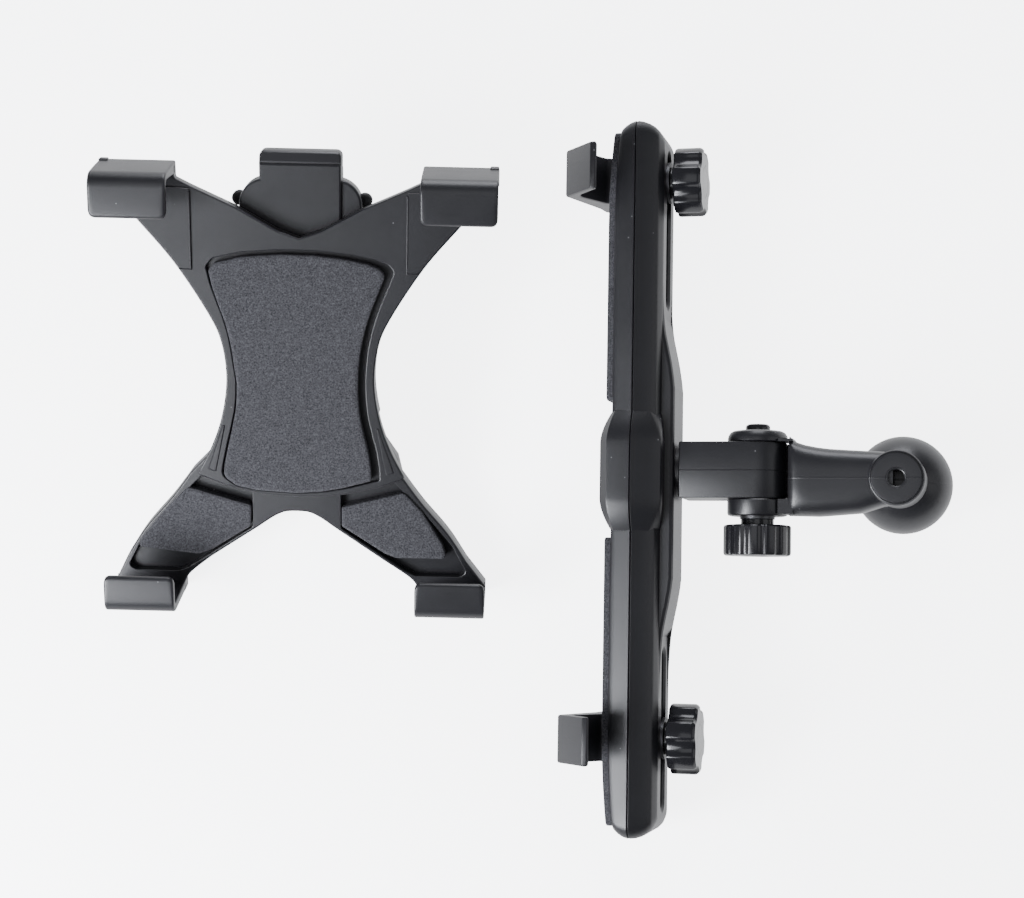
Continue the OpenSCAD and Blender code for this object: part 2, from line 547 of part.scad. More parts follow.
// A knob about +z: its hub end at z = 0, its open end at the top, with a pocket for the nut
module knob_solid(r, hub, length, lobes, flute, depth) difference() {
    union() {
        cylinder(h = hub + 1, r = bolt_r + 2.2);
        translate([0, 0, hub]) cylinder(h = length - 1, r = r);
        translate([0, 0, hub + length - 1]) cylinder(h = 1, r1 = r, r2 = r - 1);
    }
    for (i = [0:lobes - 1]) rotate((i + 0.5)*360/lobes)
        translate([r + flute - depth, 0, hub + 1]) cylinder(h = length + 1, r = flute, $fn = 32);
    translate([0, 0, -1]) cylinder(h = length + hub + 2, r = bolt_r + fit);
    translate([0, 0, hub + 0.9]) cylinder(h = length + 1, r = nut_af/sqrt(3) + 0.15, $fn = 6);
}
module hex_nut() difference() {
    cylinder(h = nut_t, r = nut_af/sqrt(3), $fn = 6);
    translate([0, 0, -1]) cylinder(h = nut_t + 2, r = bolt_r + fit);
}
module hinge_knob() color(gloss) bracket() translate([hinge_at, hub_y, 0]) rotate([90, 0, 0])
    knob_solid(hinge_knob_r, 1.7, 8.8, 12, 1.6, 0.5);
module hinge_knob_nut() color(steel) bracket() translate([hinge_at, hub_y, 0]) rotate([90, 0, 0])
    translate([0, 0, 1.7 + 0.9]) hex_nut();

// A headrest hook: a foot round the bolt, then a V that the headrest post lies in
tip_z = 28.2;
bend_z = 17.5;
hook_out = 10.2;
hook_line = [[-3.2, -7.6], [-3.9, -2], [-hook_out, bend_z], [-0.7, tip_z], [0.9, tip_z],
    [0.9, tip_z - hook_t*0.6], [-hook_out + hook_t*1.35, bend_z + 0.4], [-0.2, 6.6], [1.4, 6.2], [1.4, -7.6]];
module hook_at(y) color(gloss) bracket() translate([bar_x - strip_t - 1.7, y, 0]) difference() {
    union() {
        section(hook_w) polygon(rounded(hook_line, [1, 2, 1.6, 0.5, 0.5, 0.8, 4, 3, 0.8, 0.8]));
        translate([-5.2, 0, 0]) along_x() cylinder(h = 6.6, r = 6);
    }
    translate([-20, 0, 0]) along_x() cylinder(h = 40, r = bolt_r + fit);
    translate([-20, 0, 0]) along_x() cylinder(h = 14.8, r = 4.7);
    translate([-hook_out - 1.2, 0, bend_z]) along_x() cylinder(h = 2, r = 3.6);
}
module upper_hook() hook_at(upper_at);
module lower_hook() hook_at(lower_at);

module bolt_at(y) color(steel) bracket() translate([bar_x - strip_t - 1.7, y, 0]) {
    translate([-5.7, 0, 0]) along_x() cylinder(h = 5.7 + knob_x + hub_l + knob_l - 0.3, r = bolt_r);
    translate([-7.2, 0, 0]) along_x() cylinder(h = 2, r = 4.4);
    translate([-8, 0, 0]) along_x() cylinder(h = 0.8, r1 = 3.2, r2 = 4.4);
}
module upper_hook_bolt() bolt_at(upper_at);
module lower_hook_bolt() bolt_at(lower_at);

module washer_at(y) color(steel) bracket() translate([back_x, y, 0]) along_x() difference() {
    cylinder(h = washer_t, r = 6);
    translate([0, 0, -1]) cylinder(h = 4, r = bolt_r + fit);
}
module upper_washer() washer_at(upper_at);
module lower_washer() washer_at(lower_at);

module knob_at(y) color(gloss) bracket() translate([knob_x, y, 0]) along_x()
    knob_solid(knob_r, hub_l, knob_l, 6, 3.6, 1.5);
module upper_knob() knob_at(upper_at);
module lower_knob() knob_at(lower_at);
module knob_nut_at(y) color(steel) bracket() translate([knob_x + hub_l + 0.9, y, 0]) along_x() hex_nut();
module upper_knob_nut() knob_nut_at(upper_at);
module lower_knob_nut() knob_nut_at(lower_at);

rear_body();
rear_cover();
cover_screws();
front_plate();
guide_screws();
guide_washers();
return_springs();
centre_pad();
left_pad();
right_pad();
side_bumpers();
locking_nut();
front_shell();
rear_shell();
shell_screws();
upper_foam_strip();
lower_foam_strip();
stem_arm();
ball_arm();
hinge_bolt();
hinge_washer();
hinge_knob();
hinge_knob_nut();
upper_hook();
upper_hook_bolt();
upper_washer();
upper_knob();
upper_knob_nut();
lower_hook();
lower_hook_bolt();
lower_washer();
lower_knob();
lower_knob_nut();
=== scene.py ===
import math
import bpy
import bmesh
import numpy as np
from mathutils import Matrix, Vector
from mathutils.geometry import delaunay_2d_cdt


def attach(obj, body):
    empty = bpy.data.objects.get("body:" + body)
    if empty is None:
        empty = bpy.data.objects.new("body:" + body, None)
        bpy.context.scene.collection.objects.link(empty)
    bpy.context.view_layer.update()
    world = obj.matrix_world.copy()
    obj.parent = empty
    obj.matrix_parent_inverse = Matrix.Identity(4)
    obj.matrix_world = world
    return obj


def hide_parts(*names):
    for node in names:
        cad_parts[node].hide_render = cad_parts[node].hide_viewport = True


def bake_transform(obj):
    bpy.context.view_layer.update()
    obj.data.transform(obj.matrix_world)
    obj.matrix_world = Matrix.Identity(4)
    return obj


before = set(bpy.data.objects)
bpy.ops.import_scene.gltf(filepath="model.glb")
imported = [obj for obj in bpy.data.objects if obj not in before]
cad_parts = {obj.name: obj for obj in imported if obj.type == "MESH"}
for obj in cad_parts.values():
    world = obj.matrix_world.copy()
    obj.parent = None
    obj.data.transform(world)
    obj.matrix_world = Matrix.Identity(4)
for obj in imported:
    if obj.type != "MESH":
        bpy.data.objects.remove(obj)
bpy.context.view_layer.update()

# The table, and the camera over it. Both halves lie on a plain white table and are seen from 0.6 m
# above, the camera leaning a few degrees towards the top of the picture.
LEAN = math.radians(4.6)
AIM = Vector((-0.0060, 0.0099, 0.0))
camera_data = bpy.data.cameras.new("overhead_camera")
camera_data.sensor_width = 36.0
camera_data.lens = 36.0*2000.0/1024.0
camera = bpy.data.objects.new("overhead_camera", camera_data)
camera.location = AIM + 0.6*Vector((0.0, -math.sin(LEAN), math.cos(LEAN)))
camera.rotation_euler = (LEAN, 0.0, 0.0)
bpy.context.scene.collection.objects.link(camera)
bpy.context.scene.camera = camera


class Flow:
    """A node socket that takes part in sums, so that 1 - 0.2*mask adds a Multiply and a Subtract node."""

    def __init__(self, tree, socket):
        self.tree, self.socket = tree, socket

    def node(self, kind, settings=None, out=0, **sockets):
        """A node of any kind: its settings first, then the values or links of its sockets."""
        made = self.tree.nodes.new(kind)
        for key, value in (settings or {}).items():
            setattr(made, key, value)
        for key, value in sockets.items():
            name = int(key[1:]) if key[0] == "_" else key.replace("_", " ")
            if isinstance(value, Flow):
                self.tree.links.new(value.socket, made.inputs[name])
            else:
                made.inputs[name].default_value = value
        return Flow(self.tree, made.outputs[out])

    def math(self, operation, a, b=0.0):
        return self.node("ShaderNodeMath", {"operation": operation}, _0=a, _1=b)

    def __add__(self, other): return self.math("ADD", self, other)
    def __radd__(self, other): return self.math("ADD", other, self)
    def __sub__(self, other): return self.math("SUBTRACT", self, other)
    def __rsub__(self, other): return self.math("SUBTRACT", other, self)
    def __mul__(self, other): return self.math("MULTIPLY", self, other)
    def __rmul__(self, other): return self.math("MULTIPLY", other, self)
    def above(self, low, high):
        """0 below low, 1 above high, and straight between them"""
        return self.node("ShaderNodeMapRange", {"clamp": True}, From_Min=low, From_Max=high, Value=self)


def finish_of(name, specular=0.5, metallic=0.0):
    """A new material, its shader and its Object coordinates."""
    material = bpy.data.materials.new(name)
    material.use_nodes = True
    tree = material.node_tree
    shader = tree.nodes["Principled BSDF"]
    shader.inputs["Metallic"].default_value = metallic
    shader.inputs["Specular IOR Level"].default_value = specular
    places = tree.nodes.new("ShaderNodeTexCoord")
    return material, shader, Flow(tree, places.outputs["Object"])


def feed(shader, **sockets):
    """Links values to a shader's sockets, whose names have _ for a space here."""
    for key, value in sockets.items():
        value.tree.links.new(value.socket, shader.inputs[key.replace("_", " ")])


def mixed(mask, low, high):
    """The colour low where mask is 0 and high where it is 1"""
    return mask.node("ShaderNodeMix", {"data_type": "RGBA"}, 2, _0=mask, _6=(*low, 1.0), _7=(*high, 1.0))


def table_finish(name, white, glow):
    """White acrylic lit from below: it glows evenly and takes only a faint shadow. Its colour wavers by
    3 % between white and 0.97 white."""
    material, shader, where = finish_of(name + "_acrylic", specular=0.1)
    paper = where.node("ShaderNodeTexNoise", Vector=where, Scale=60.0, Detail=3.0)
    feed(shader, Base_Color=mixed(paper, 3*(0.97*white,), 3*(white,)))
    shader.inputs["Roughness"].default_value = 0.9
    shader.inputs["Emission Color"].default_value = (0.97, 0.98, 1.0, 1.0)
    shader.inputs["Emission Strength"].default_value = glow
    return material


# A lit table in a dim white room with six soft panels. The window and the side panel shine on the faces
# that look left, the near panel on the bar's lower end, and the others fill what looks up, right or away.
# Reflections don't see the table's own glow but a dimmer sheet that lies 0.4 mm under it.
world = bpy.data.worlds.new("white_room")
world.use_nodes = True
world.node_tree.nodes["Background"].inputs["Color"].default_value = (0.93, 0.95, 1.0, 1.0)
world.node_tree.nodes["Background"].inputs["Strength"].default_value = 0.22
bpy.context.scene.world = world
DAYLIGHT, WHITE_LIGHT = (0.93, 0.95, 1.0), (0.95, 0.96, 1.0)
for name, place, size, power, tint in (
        ("window", (-0.60, -0.36, 0.74), 0.50, 4.8, DAYLIGHT),
        ("side_panel", (-0.50, -0.16, 0.45), 0.20, 3.0, DAYLIGHT),
        ("near_panel", (-0.26, -0.20, 0.20), 0.14, 1.6, DAYLIGHT),
        ("top_panel", (-0.16, 0.05, 1.40), 0.80, 2.0, WHITE_LIGHT),
        ("right_panel", (0.52, 0.02, 0.36), 0.40, 0.42, WHITE_LIGHT),
        ("far_panel", (0.05, 0.80, 0.20), 0.45, 5.0, (0.93, 0.94, 1.0))):
    lamp_data = bpy.data.lights.new(name, "AREA")
    lamp_data.shape, lamp_data.size, lamp_data.energy, lamp_data.color = "SQUARE", size, power, tint
    lamp = bpy.data.objects.new(name, lamp_data)
    lamp.location = place
    lamp.rotation_euler = (AIM - Vector(place)).to_track_quat("-Z", "Y").to_euler()
    lamp.visible_camera = False
    bpy.context.scene.collection.objects.link(lamp)
TABLE_HALF = 3.0
for name, level, white, glow in (("table", 0.0, 0.93, 5.0), ("table_sheen", -0.0004, 0.02, 1.5)):
    corners = [(TABLE_HALF*x, TABLE_HALF*y, level) for x, y in ((-1, -1), (1, -1), (1, 1), (-1, 1))]
    sheet = bpy.data.objects.new(name, bpy.data.meshes.new(name))
    sheet.data.from_pydata(corners, [], [(0, 1, 2, 3)])
    sheet.data.materials.append(table_finish(name, white, glow))
    sheet.visible_glossy = name == "table_sheen"
    sheet.visible_camera = sheet.visible_diffuse = sheet.visible_shadow = name == "table"
    bpy.context.scene.collection.objects.link(sheet)

# The cradle's rear body: a black moulding in an X, with two lower hooks, a recess in each lower arm
# and a tongue that runs up under the sliding plate. Its back is cored out and takes the cover.
CRADLE_AT, CRADLE_TILT, CRADLE_TURN = (-66.3, 12.6, 17.8987), 22.18570, -1.4
MM = 0.001


def laid(points, at, tilt, turn, about="x"):
    """Millimetres in a half's own frame to metres on the table: tilted about x or y, turned about z, moved."""
    c, s = math.cos(math.radians(tilt)), math.sin(math.radians(tilt))
    lean = np.array([[1, 0, 0], [0, c, -s], [0, s, c]] if about == "x" else [[c, 0, s], [0, 1, 0], [-s, 0, c]])
    c, s = math.cos(math.radians(turn)), math.sin(math.radians(turn))
    around = np.array([[c, -s, 0], [s, c, 0], [0, 0, 1]])
    return (np.asarray(points) @ (around @ lean).T + np.array(at))*MM


def on_cradle(points):
    return laid(points, CRADLE_AT, CRADLE_TILT, CRADLE_TURN)


def rounded(corners, radii, steps=6):
    """A closed line through corners, each replaced by an arc of its radius: m + q (cos t, sin t)."""
    p = np.asarray(corners, float)
    radii = np.broadcast_to(np.asarray(radii, float), len(p))
    line = []
    for a, b, c, r in zip(np.roll(p, 1, 0), p, np.roll(p, -1, 0), radii):
        u, v = (a - b)/np.linalg.norm(a - b), (c - b)/np.linalg.norm(c - b)
        half = math.acos(np.clip(u @ v, -0.9999, 0.9999))/2
        t = min(r/math.tan(half), 0.48*np.linalg.norm(a - b), 0.48*np.linalg.norm(c - b))
        if r <= 0 or half > math.radians(89.5):
            line.append(b[None])
            continue
        q = t*math.tan(half)
        m = b + (u + v)/np.linalg.norm(u + v)*q/math.sin(half)
        start = math.atan2(*(b + u*t - m)[::-1])
        swing = (math.atan2(*(b + v*t - m)[::-1]) - start + math.pi) % (2*math.pi) - math.pi
        turn = start + swing*np.linspace(0, 1, steps)
        line.append(m + q*np.column_stack([np.cos(turn), np.sin(turn)]))
    return np.concatenate(line)


def smooth(points, steps=8):
    """The cubic (2b + (c-a)s + (2a-5b+4c-d)s^2 + (3b-a-3c+d)s^3)/2 through each pair b, c of points."""
    p = np.asarray(points, float)
    a, b, c, d = np.vstack([p[:1], p[:-2]]), p[:-1], p[1:], np.vstack([p[2:], p[-1:]])
    s = np.linspace(0, 1, steps, endpoint=False)[None, :, None]
    a, b, c, d = (q[:, None, :] for q in (a, b, c, d))
    curve = (2*b + (c - a)*s + (2*a - 5*b + 4*c - d)*s**2 + (3*b - a - 3*c + d)*s**3)/2
    return np.vstack([curve.reshape(-1, 2), p[-1:]])


def mirrored(line):
    """A half outline followed by its mirror image in x = 0, walked back."""
    back = line[::-1]*[-1, 1]
    return np.vstack([line, back[(back[:, 0] < -1e-6)]])


def inset(loop, d):
    """The loop moved inwards by d: each point along (n1 + n2)/(1 + n1.n2) of its two edges' normals."""
    along = np.roll(loop, -1, 0) - loop
    along /= np.maximum(np.linalg.norm(along, axis=1, keepdims=True), 1e-9)
    n2 = np.column_stack([-along[:, 1], along[:, 0]])
    n1 = np.roll(n2, 1, 0)
    area = np.sum(loop[:, 0]*np.roll(loop[:, 1], -1) - np.roll(loop[:, 0], -1)*loop[:, 1])
    return loop + math.copysign(d, d*area)*(n1 + n2)/np.maximum(1 + np.sum(n1*n2, 1, keepdims=True), 0.35)


def wall(rings):
    """Quads between closed rings of points, given as an array (ring, point, 3)."""
    rings = np.asarray(rings, float)
    m, n = rings.shape[:2]
    i, j = np.meshgrid(np.arange(m - 1), np.arange(n), indexing="ij")
    k = (j + 1) % n
    quads = np.stack([i*n + j, i*n + k, (i + 1)*n + k, (i + 1)*n + j], -1).reshape(-1, 4)
    return rings.reshape(-1, 3), quads.tolist(), True


def lid(outer, holes, height):
    """A flat face at one height inside a loop and outside its holes, as triangles."""
    loops = [outer, *holes]
    ends = np.cumsum([0] + [len(q) for q in loops])
    edges = [(int(s + i), int(s + (i + 1) % len(q))) for s, q in zip(ends, loops) for i in range(len(q))]
    flat, _, tris, *_ = delaunay_2d_cdt([Vector(q) for q in np.vstack(loops)], edges, [], 0, 1e-5)
    flat, tris = np.array([tuple(v) for v in flat]), np.array([t[:3] for t in tris])
    middle = flat[tris].mean(1)
    keep = within(middle, outer)
    for hole in holes:
        keep &= ~within(middle, hole)
    return np.column_stack([flat, np.full(len(flat), height)]), tris[keep].tolist(), False


def within(points, loop):
    """Whether each point is inside a loop, by counting the edges that a ray to +x crosses."""
    x, y = points[:, :1], points[:, 1:]
    a, b = loop, np.roll(loop, -1, 0)
    spans = (a[:, 1] > y) != (b[:, 1] > y)
    with np.errstate(divide="ignore", invalid="ignore"):
        at = a[:, 0] + (y - a[:, 1])*(b[:, 0] - a[:, 0])/(b[:, 1] - a[:, 1])
    return (np.sum(spans & (at > x), 1) % 2) == 1


def moulding(outline, levels, pockets=(), axes="xyz"):
    """A plate between flat faces. Its wall passes through the outline moved in by d at height h, for each
    (d, h) of levels from the lowest up. A pocket is (loop, levels, side, floor): side 1 opens upwards and
    -1 downwards, and without a floor it goes right through. axes names the outline's two axes, then h's."""
    outline = np.asarray(outline, float)
    ring = lambda loop, d, h: np.column_stack([inset(loop, d), np.full(len(loop), h)])
    rings = [ring(outline, d, h) for d, h in levels]
    parts = [wall(rings)]
    low, high = [], []
    for loop, depths, side, floor in pockets:
        loop = np.asarray(loop, float)
        parts.append(wall([ring(loop, d, h) for d, h in depths]))
        (high if side > 0 else low).append(inset(loop, depths[0][0]))
        if floor:
            parts.append(lid(inset(loop, depths[-1][0]), [], depths[-1][1]))
        else:
            low.append(inset(loop, depths[-1][0]))
    parts += [lid(rings[0][:, :2], low, levels[0][1]), lid(rings[-1][:, :2], high, levels[-1][1])]
    order = [axes.index(c) for c in "xyz"]
    return [(v[:, order], f, s) for v, f, s in parts]


def piece(name, parts, place, finish, body, nodes=(), crease=32):
    """One object from parts (points, faces, smooth), welded, with its faces turned outwards and its edges
    sharp from crease degrees. It rides on a body when one is given."""
    points, faces, soft, count = [], [], [], 0
    for v, f, s in parts:
        points.append(v)
        faces += [[q + count for q in g] for g in f]
        soft += [s]*len(f)
        count += len(v)
    mesh = bpy.data.meshes.new(name)
    mesh.from_pydata(place(np.vstack(points)), [], faces)
    mesh.polygons.foreach_set("use_smooth", soft)
    shape = bmesh.new()
    shape.from_mesh(mesh)
    bmesh.ops.remove_doubles(shape, verts=shape.verts, dist=4e-6)
    bmesh.ops.recalc_face_normals(shape, faces=shape.faces)
    shape.to_mesh(mesh)
    shape.free()
    soft = np.zeros(len(mesh.polygons), bool)
    mesh.polygons.foreach_get("use_smooth", soft)
    mesh.set_sharp_from_angle(angle=math.radians(crease))
    mesh.polygons.foreach_set("use_smooth", soft)
    mesh.materials.append(finish)
    made = bpy.data.objects.new(name, mesh)
    bpy.context.scene.collection.objects.link(made)
    if body:
        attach(made, body)
    if nodes:
        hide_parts(*nodes)
    return made


def plastic(name, tone, rough, grain, specular=0.5, dust=0.0, metallic=0.0):
    """A moulded or rolled surface: a fine grain, clouds of handling sheen, faint rubs and specks of dust.
    Roughness is rough - 0.07 + 0.14 cloud + 0.10 fine - 0.05 rub + 0.3 dust fleck, each from 0 to 1."""
    material, shader, where = finish_of(name, specular, metallic)
    cloud = where.node("ShaderNodeTexNoise", Vector=where, Scale=38.0, Detail=4.0, Roughness=0.6)
    fine = where.node("ShaderNodeTexNoise", Vector=where, Scale=2600.0, Detail=2.0, Roughness=0.7)
    rub = where.node("ShaderNodeTexNoise", Vector=where.node("ShaderNodeMapping", Vector=where,
        Rotation=(0.3, 0.5, 0.7), Scale=(1.0, 9.0, 1.0)), Scale=160.0, Detail=3.0).above(0.60, 0.78)
    fleck = 1 - where.node("ShaderNodeTexVoronoi", Vector=where, Scale=170.0).above(0.028, 0.045)
    colour = mixed(cloud.above(0.3, 0.7), tuple(0.86*c for c in tone), tuple(1.16*c for c in tone))
    feed(shader, Base_Color=colour.node("ShaderNodeMix", {"data_type": "RGBA"}, 2, _0=dust*fleck, _6=colour,
        _7=(0.42, 0.42, 0.44, 1.0)))
    feed(shader, Roughness=(rough - 0.07) + 0.14*cloud + 0.10*fine - 0.05*rub + 0.3*dust*fleck)
    feed(shader, Normal=fine.node("ShaderNodeBump", Height=fine + 0.35*cloud - 0.2*rub, Strength=grain,
        Distance=0.00006))
    return material


SATIN = plastic("satin_black_plastic", (0.009, 0.009, 0.011), 0.33, 0.30, dust=0.25)
DECK, FACE, LIP_OUT = 6.6, 11.0, 25.5
LOW_Y, HIGH_Y, WAIST, HALF_LOW, HALF_TOP = -47.2, 79.8, 21.0, 54.3, 55.2


def hook_line(reach, foot, lean, d=0.0, bend=4.0, lip=2.4, steps=9):
    """A hook's closed section (y, z), wall outside at y = 0 and lip towards -y, moved in by d: up the
    wall, round the bend by bend*(cos t - 1, sin t), along the lip, round its tip and back inside."""
    t = np.linspace(0, math.pi/2, steps)[:, None]
    out = np.array([[-bend, LIP_OUT - bend]]) + (bend - d)*np.hstack([np.cos(t), np.sin(t)])
    tip_t = np.linspace(math.pi/2, 1.5*math.pi, 7)[:, None]
    r = lip/2 - d
    tip = np.array([[-reach + lip/2, LIP_OUT - lip/2]]) + r*np.hstack([np.cos(tip_t), np.sin(tip_t)])
    inner = np.array([[-bend, LIP_OUT - bend]]) + (bend - lip + d)*np.hstack([np.cos(t[::-1]), np.sin(t[::-1])])
    foot_in = [[-lip - 0.3 + d, foot + 2.2], [-lip - 0.9 + d, foot + 0.9], [-lip - 2.0 + d, foot + 0.1]]
    outside = [[lean - d, foot], [lean/2 - d, (foot + LIP_OUT)/2]]
    return np.vstack([outside, out, tip, inner, foot_in, [[-lip - 2, foot - 0.5]]])


def hook(x0, x1, y, way, reach, foot, lean):
    """A hook swept from x0 to x1: near each end the section shrinks by r - sqrt(r^2 - (r - s)^2) over the
    last r = 0.55 mm, and the lip's reach by the same with r = 1.8 mm, which rounds its corners."""
    r, corner = 0.55, 1.8
    s = np.array([0.0, 0.06, 0.16, 0.32, 0.55, 0.9, 1.3, 1.8])
    ease = lambda r: r - np.sqrt(np.maximum(r*r - np.maximum(r - s, 0)**2, 0))
    stations = np.concatenate([x0 + s, (x1 - s)[::-1]])
    d, cut = np.concatenate([ease(r), ease(r)[::-1]]), np.concatenate([ease(corner), ease(corner)[::-1]])
    rings = []
    for x, shrink, short in zip(stations, d, cut):
        line = hook_line(reach - short, foot, lean, shrink)
        rings.append(np.column_stack([np.full(len(line), x), y + way*line[:, 0], line[:, 1]]))
    ends = [lid(ring[:, 1:], [], x) for ring, x in ((rings[0], x0), (rings[-1], x1))]
    return [wall(rings)] + [(v[:, [2, 0, 1]], f, soft) for v, f, soft in ends]


def arc(cx, cy, r, start, end, steps=7):
    """Points (cx + r cos t, cy + r sin t) for t from start to end, in degrees."""
    t = np.radians(np.linspace(start, end, steps))
    return np.column_stack([cx + r*np.cos(t), cy + r*np.sin(t)]).tolist()


ARM_SLIP, HOOK_SLIP = 1.8, 0.8


def slipped(line):
    """The lower arms stand 1.8 mm off centre and the lower hooks 0.8 mm, as the halves were moulded: the
    shift falls evenly between y = -36 and y = -43."""
    shift = np.where(line[:, 1] > -8, 0, np.clip(ARM_SLIP + (line[:, 1] + 36)/7, HOOK_SLIP, ARM_SLIP))
    return line - np.column_stack([shift, 0*shift])


low_in = HALF_LOW - 20.0
arm_edge = smooth([[HALF_LOW, -43.4], [HALF_LOW - 4.6, -36], [HALF_LOW - 10.2, -27.3], [HALF_LOW - 17.8, -18.2],
    [WAIST + 9.4, -9.8]])
notch = np.vstack([smooth([[0, -21.4], [3.5, -21.7], [7, -23.4], [11.5, -26.6], [18.5, -31.4], [27, -37.3],
    [low_in - 1.8, -41.6], [low_in, -44.6]]), [[low_in, LOW_Y], [HALF_LOW, LOW_Y]]])
arms = slipped(mirrored(np.vstack([notch, arm_edge, [[WAIST + 6.4, -4.8], [WAIST + 1.4, 2.5], [17.1, 10]]])))
shoulder = arc(9.6, 68.6, 7.5, 0, 76, 11)
tongue = mirrored(np.array([[0, 4], [17.1, 4], *shoulder, [0, 76.2]]))
TAB, TAB_FOOT, TAB_END = 11.4, 80.3, 83.7
tab = np.array([[-17.1, 50], [TAB, 50], [TAB, TAB_FOOT], [-TAB, TAB_FOOT], [-TAB, 75.9]]
    + [[-x, y] for x, y in shoulder[::-1][1:]])
tab_end = rounded([[TAB, TAB_FOOT], [TAB, TAB_END], [-TAB, TAB_END], [-TAB, TAB_FOOT]], [0, 1.7, 1.7, 0])
tab_levels = [(0.5, 0.1), (0, 0.6), (0, 5.9), (0.15, 6.35), (0.6, DECK)]
edge = lambda low, high, r=0.5: [(r, low), (0.3*r, low + 0.3*r), (0, low + r), (0, high - r), (0.13*r, high - 0.5*r),
    (0.5*r, high - 0.13*r), (r, high)]
PAD_FLOOR, RAIL_X = DECK - 2.9, 7.0
recess_line = rounded([[12.9, -13], [12.9, -26.4], [26.0, -35.4], [31.6, -39.2], [34.6, -40.6], [47.6, -40.6],
    [49.6, -39.3], [45.4, -31.2], [39.5, -24], [33.6, -17.6], [27.0, -10.5]],
    [0.5, 1.5, 3, 2, 2, 1.5, 2, 4, 4, 4, 0.5])
core_line = rounded([[HALF_LOW - 26, -27], [HALF_LOW - 20.5, -19], [HALF_LOW - 12.5, -28.5], [HALF_LOW - 7.5, -37],
    [HALF_LOW - 3, LOW_Y + 3], [low_in + 3, LOW_Y + 3], [low_in - 2.5, -38.6]], 1.2)
recess, cores, slots = [], [], []
for side in (-1, 1):
    recess.append((recess_line*[side, 1] - [ARM_SLIP, 0],
        [(-0.25, DECK), (-0.05, DECK - 0.1), (0, PAD_FLOOR)], 1, True))
    cores.append((core_line*[side, 1] - [1.3, 0], [(-0.2, 0.0), (0, 0.2), (0.15, 3.1)], -1, True))
    x = side*RAIL_X
    line = rounded([[x - 2.3, 2.7], [x + 2.3, 2.7], [x + 2.3, 57.3], [x - 2.3, 57.3]], 2.25, 8)
    slots.append((line, [(-0.2, 5.5), (0, 5.3), (0, 0.4)], 1, True))
rear_parts = moulding(arms, edge(0, DECK), recess + cores)
rear_parts += moulding(tongue, edge(0.05, 5.5, 0.7), slots)
rear_parts += moulding(tab, tab_levels)
for v, faces, soft in moulding(tab_end, tab_levels):
    slope = np.where(v[:, 2] > 3, 0.42*np.maximum(v[:, 1] - TAB_FOOT, 0), 0)
    rear_parts.append((v - np.column_stack([0*slope, 0*slope, slope]), faces, soft))
for x in (-HALF_LOW, low_in):
    rear_parts += hook(x - HOOK_SLIP, x - HOOK_SLIP + 20.0, LOW_Y, -1, 11.4, 5.0, 0.2)
piece("rear_body_moulding", rear_parts, on_cradle, SATIN, "mount", ["rear_body"])


# The sliding plate: the front of the X, with the two upper hooks, a raised field at the root of each
# and a shallow pocket for the middle pad. Its skirt runs down the tongue's sides, and two bosses on
# its back reach through the tongue's slots.
upper_in = HALF_TOP - 21.0
inner_x, field_foot = upper_in - 4.1, HIGH_Y - 28.8
waist_side = smooth([[WAIST + 8.9, -9.2], [WAIST + 4.8, -1.2], [WAIST + 1.6, 8], [WAIST, 19], [WAIST + 1.1, 29.5],
    [WAIST + 4.6, 38], [WAIST + 13.8, 52.5], [HALF_TOP - 11, HIGH_Y - 16]])
plate_foot = rounded([[13, -14.4], [22, -12.2], [WAIST + 8.9, -9.2], [WAIST + 4.8, -1.2]], [0, 3, 0.8, 0])
plate_top = rounded([[HALF_TOP - 11, HIGH_Y - 16], [HALF_TOP, HIGH_Y - 3.5], [HALF_TOP, HIGH_Y - 0.3],
    [upper_in, HIGH_Y - 0.3], [upper_in, HIGH_Y - 3.4], [upper_in - 4.5, HIGH_Y - 5.6], [17.5, HIGH_Y - 11.1],
    [6, HIGH_Y - 17.5], [0, HIGH_Y - 19.6]], [0, 2, 0, 0, 1.0, 4, 6, 9, 0], 8)
plate_line = mirrored(np.vstack([[[0, -15.5], [7, -15.2], [13, -14.4]], plate_foot[1:-1], waist_side[1:],
    plate_top[1:]]))
pad_right = smooth([[20.2, -6.2], [19.4, -1.0], [18.3, 3.5], [17.1, 9.3], [16.55, 15.1], [16.5, 20.3],
    [17.0, 26.8], [18.0, 32.6], [19.6, 38.5], [21.5, 43.7], [23.0, 47.6]], 5)
pad_head = rounded([[23.0, 47.6], [24.1, 50.4], [22.4, 52.3], [19.1, 53.6], [13.0, 54.8], [4.3, 55.7], [-5.6, 55.8],
    [-16.1, 54.9], [-23.6, 53.0], [-25.3, 50.6], [-24.9, 49.3]], [0, 2.2, 2.2, 6, 12, 12, 12, 9, 2, 1.5, 0])
pad_left = smooth([[-24.9, 49.3], [-24.1, 45.8], [-22.4, 40.6], [-20.7, 35.5], [-19.4, 29.7], [-18.4, 22.6],
    [-17.9, 18.1], [-18.2, 11.6], [-19.4, 5.1], [-20.6, -0.1], [-21.8, -6.0]], 5)
pad_foot = rounded([[-21.8, -6.0], [-22.2, -9.2], [-18.6, -12.0], [-12.5, -13.3], [-1.4, -13.9], [6.0, -13.3],
    [12.2, -12.1], [20.4, -9.7], [20.2, -6.2]], [0, 3, 4, 8, 12, 12, 12, 0.8, 0])
pad_line = np.vstack([pad_right, pad_head[1:-1], pad_left, pad_foot[1:-1]])
